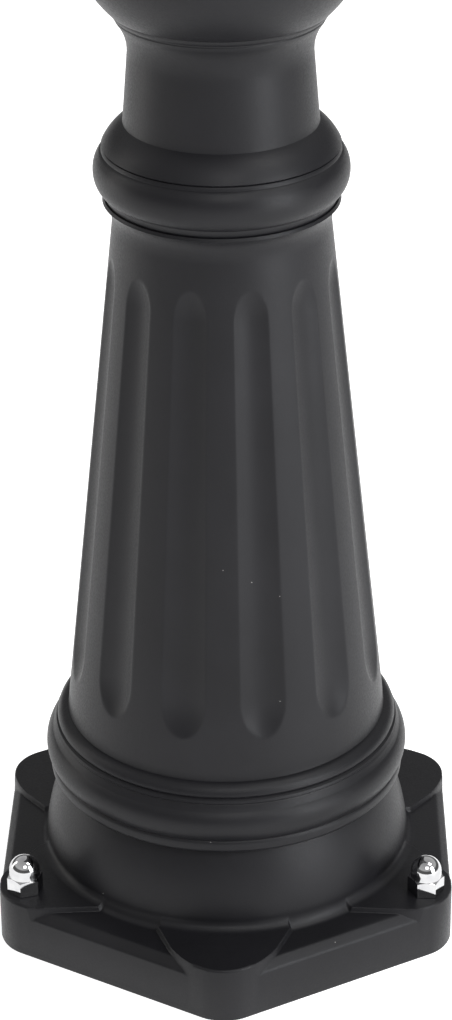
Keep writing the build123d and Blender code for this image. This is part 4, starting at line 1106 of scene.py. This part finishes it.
# ---------------------------------------------------------------- finishes of the kept CAD nodes
FINISHES = (
    (ZINC, "core_tube tube_flange flange_screws stack_nut saddle_screws case_screws finial_nut"),
    (ZINC, "cover_screws"),
    (STAINLESS, "scroll_screws hinge_pins dial_screws"),
    (BRASS, "dial_nut movement_frame center_arbor hour_wheel minute_wheel motor_pinion"),
    (NICKEL, "catch_magnets"),
    (PLASTIC, "movement_cover"),
    (CAN, "drive_motor"),
    (WRAP, "battery"),
)
KEPT = {name: material for material, names in FINISHES for name in names.split()}
for name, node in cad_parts.items():
    key = name.removesuffix("_front").removesuffix("_rear")
    if key in KEPT:
        node.data.materials.clear()
        node.data.materials.append(KEPT[key])


# ---------------------------------------------------------------- floor, light and camera
FLOOR_GLOW = 0.68
FLOOR_HALF = 8.0  # metres


def floor_object():
    """A plain pale floor that glows a little, so that it stays white behind the object."""
    material = bpy.data.materials.new("pale_floor")
    material.use_nodes = True
    shader = material.node_tree.nodes["Principled BSDF"]
    shader.inputs["Base Color"].default_value = (0.93, 0.93, 0.93, 1)
    shader.inputs["Roughness"].default_value = 0.9
    shader.inputs["Emission Color"].default_value = (1, 1, 1, 1)
    shader.inputs["Emission Strength"].default_value = FLOOR_GLOW
    mesh = bpy.data.meshes.new("floor")
    corners = [(x * FLOOR_HALF, y * FLOOR_HALF, 0) for x, y in ((-1, -1), (1, -1), (1, 1), (-1, 1))]
    mesh.from_pydata(corners, [], [(0, 1, 2, 3)])
    mesh.materials.append(material)
    obj = bpy.data.objects.new("floor", mesh)
    bpy.context.scene.collection.objects.link(obj)


def softbox(name, place, aim, width, height, power, colour=(1, 1, 1)):
    """A rectangular light at place, turned towards aim, in metres and watts."""
    data = bpy.data.lights.new(name, "AREA")
    data.shape = "RECTANGLE"
    data.size = width
    data.size_y = height
    data.energy = power
    data.color = colour
    obj = bpy.data.objects.new(name, data)
    obj.location = place
    obj.rotation_euler = (Vector(aim) - Vector(place)).to_track_quat("-Z", "Y").to_euler()
    bpy.context.scene.collection.objects.link(obj)


floor_object()
world = bpy.data.worlds.new("studio")
world.use_nodes = True
sky = world.node_tree.nodes["Background"]
sky_place = world.node_tree.nodes.new("ShaderNodeTexCoord")
sky_height = world.node_tree.nodes.new("ShaderNodeSeparateXYZ")
sky_ramp = world.node_tree.nodes.new("ShaderNodeValToRGB")
# Grey of the sky by height, from straight down at 0 to straight up at 1.
SKY_STOPS = ((0.0, 0.6), (0.06, 0.15), (0.34, 0.15), (0.46, 0.75), (1.0, 0.55))
while len(sky_ramp.color_ramp.elements) < len(SKY_STOPS):
    sky_ramp.color_ramp.elements.new(0.5)
for element, (height, light) in zip(sky_ramp.color_ramp.elements, SKY_STOPS):
    element.position = height
    element.color = (light, light, light, 1)
world.node_tree.links.new(sky_place.outputs["Generated"], sky_height.inputs["Vector"])
world.node_tree.links.new(sky_height.outputs["Z"], sky_ramp.inputs["Fac"])
world.node_tree.links.new(sky_ramp.outputs["Color"], sky.inputs["Color"])
bpy.context.scene.world = world
softbox("key_right", (1.5, -1.1, 0.8), (0, 0, 0.25), 0.8, 1.5, 30, (0.95, 0.97, 1.0))
softbox("rim_left", (-1.9, 0.5, 0.8), (0, 0, 0.3), 0.5, 1.6, 8, (1.0, 0.98, 0.95))
softbox("top_right", (0.9, -0.3, 1.9), (0, 0, 0.1), 0.7, 0.7, 9)
softbox("head_soft", (0.4, -2.6, 3.0), (0, 0, 1.7), 1.4, 1.4, 30)

CAMERA_PLACE = Vector((0.0304, -1.58, 1.0716))
CAMERA_PITCH = radians(27.67)
CAMERA_TURN = radians(1.07)
CAMERA_ROLL = radians(-0.46)
CAMERA_LENS = 113.1
camera_data = bpy.data.cameras.new("camera")
camera_data.sensor_fit = "VERTICAL"
camera_data.sensor_height = 36
camera_data.lens = CAMERA_LENS
camera_data.clip_end = 60
camera = bpy.data.objects.new("camera", camera_data)
level = cos(CAMERA_PITCH)
forward = Vector((-sin(CAMERA_TURN) * level, cos(CAMERA_TURN) * level, -sin(CAMERA_PITCH)))
camera.matrix_world = (
    Matrix.Translation(CAMERA_PLACE)
    @ forward.to_track_quat("-Z", "Y").to_matrix().to_4x4()
    @ Matrix.Rotation(CAMERA_ROLL, 4, "Z")
)
bpy.context.scene.collection.objects.link(camera)
bpy.context.scene.camera = camera
bpy.context.scene.view_settings.view_transform = "Standard"
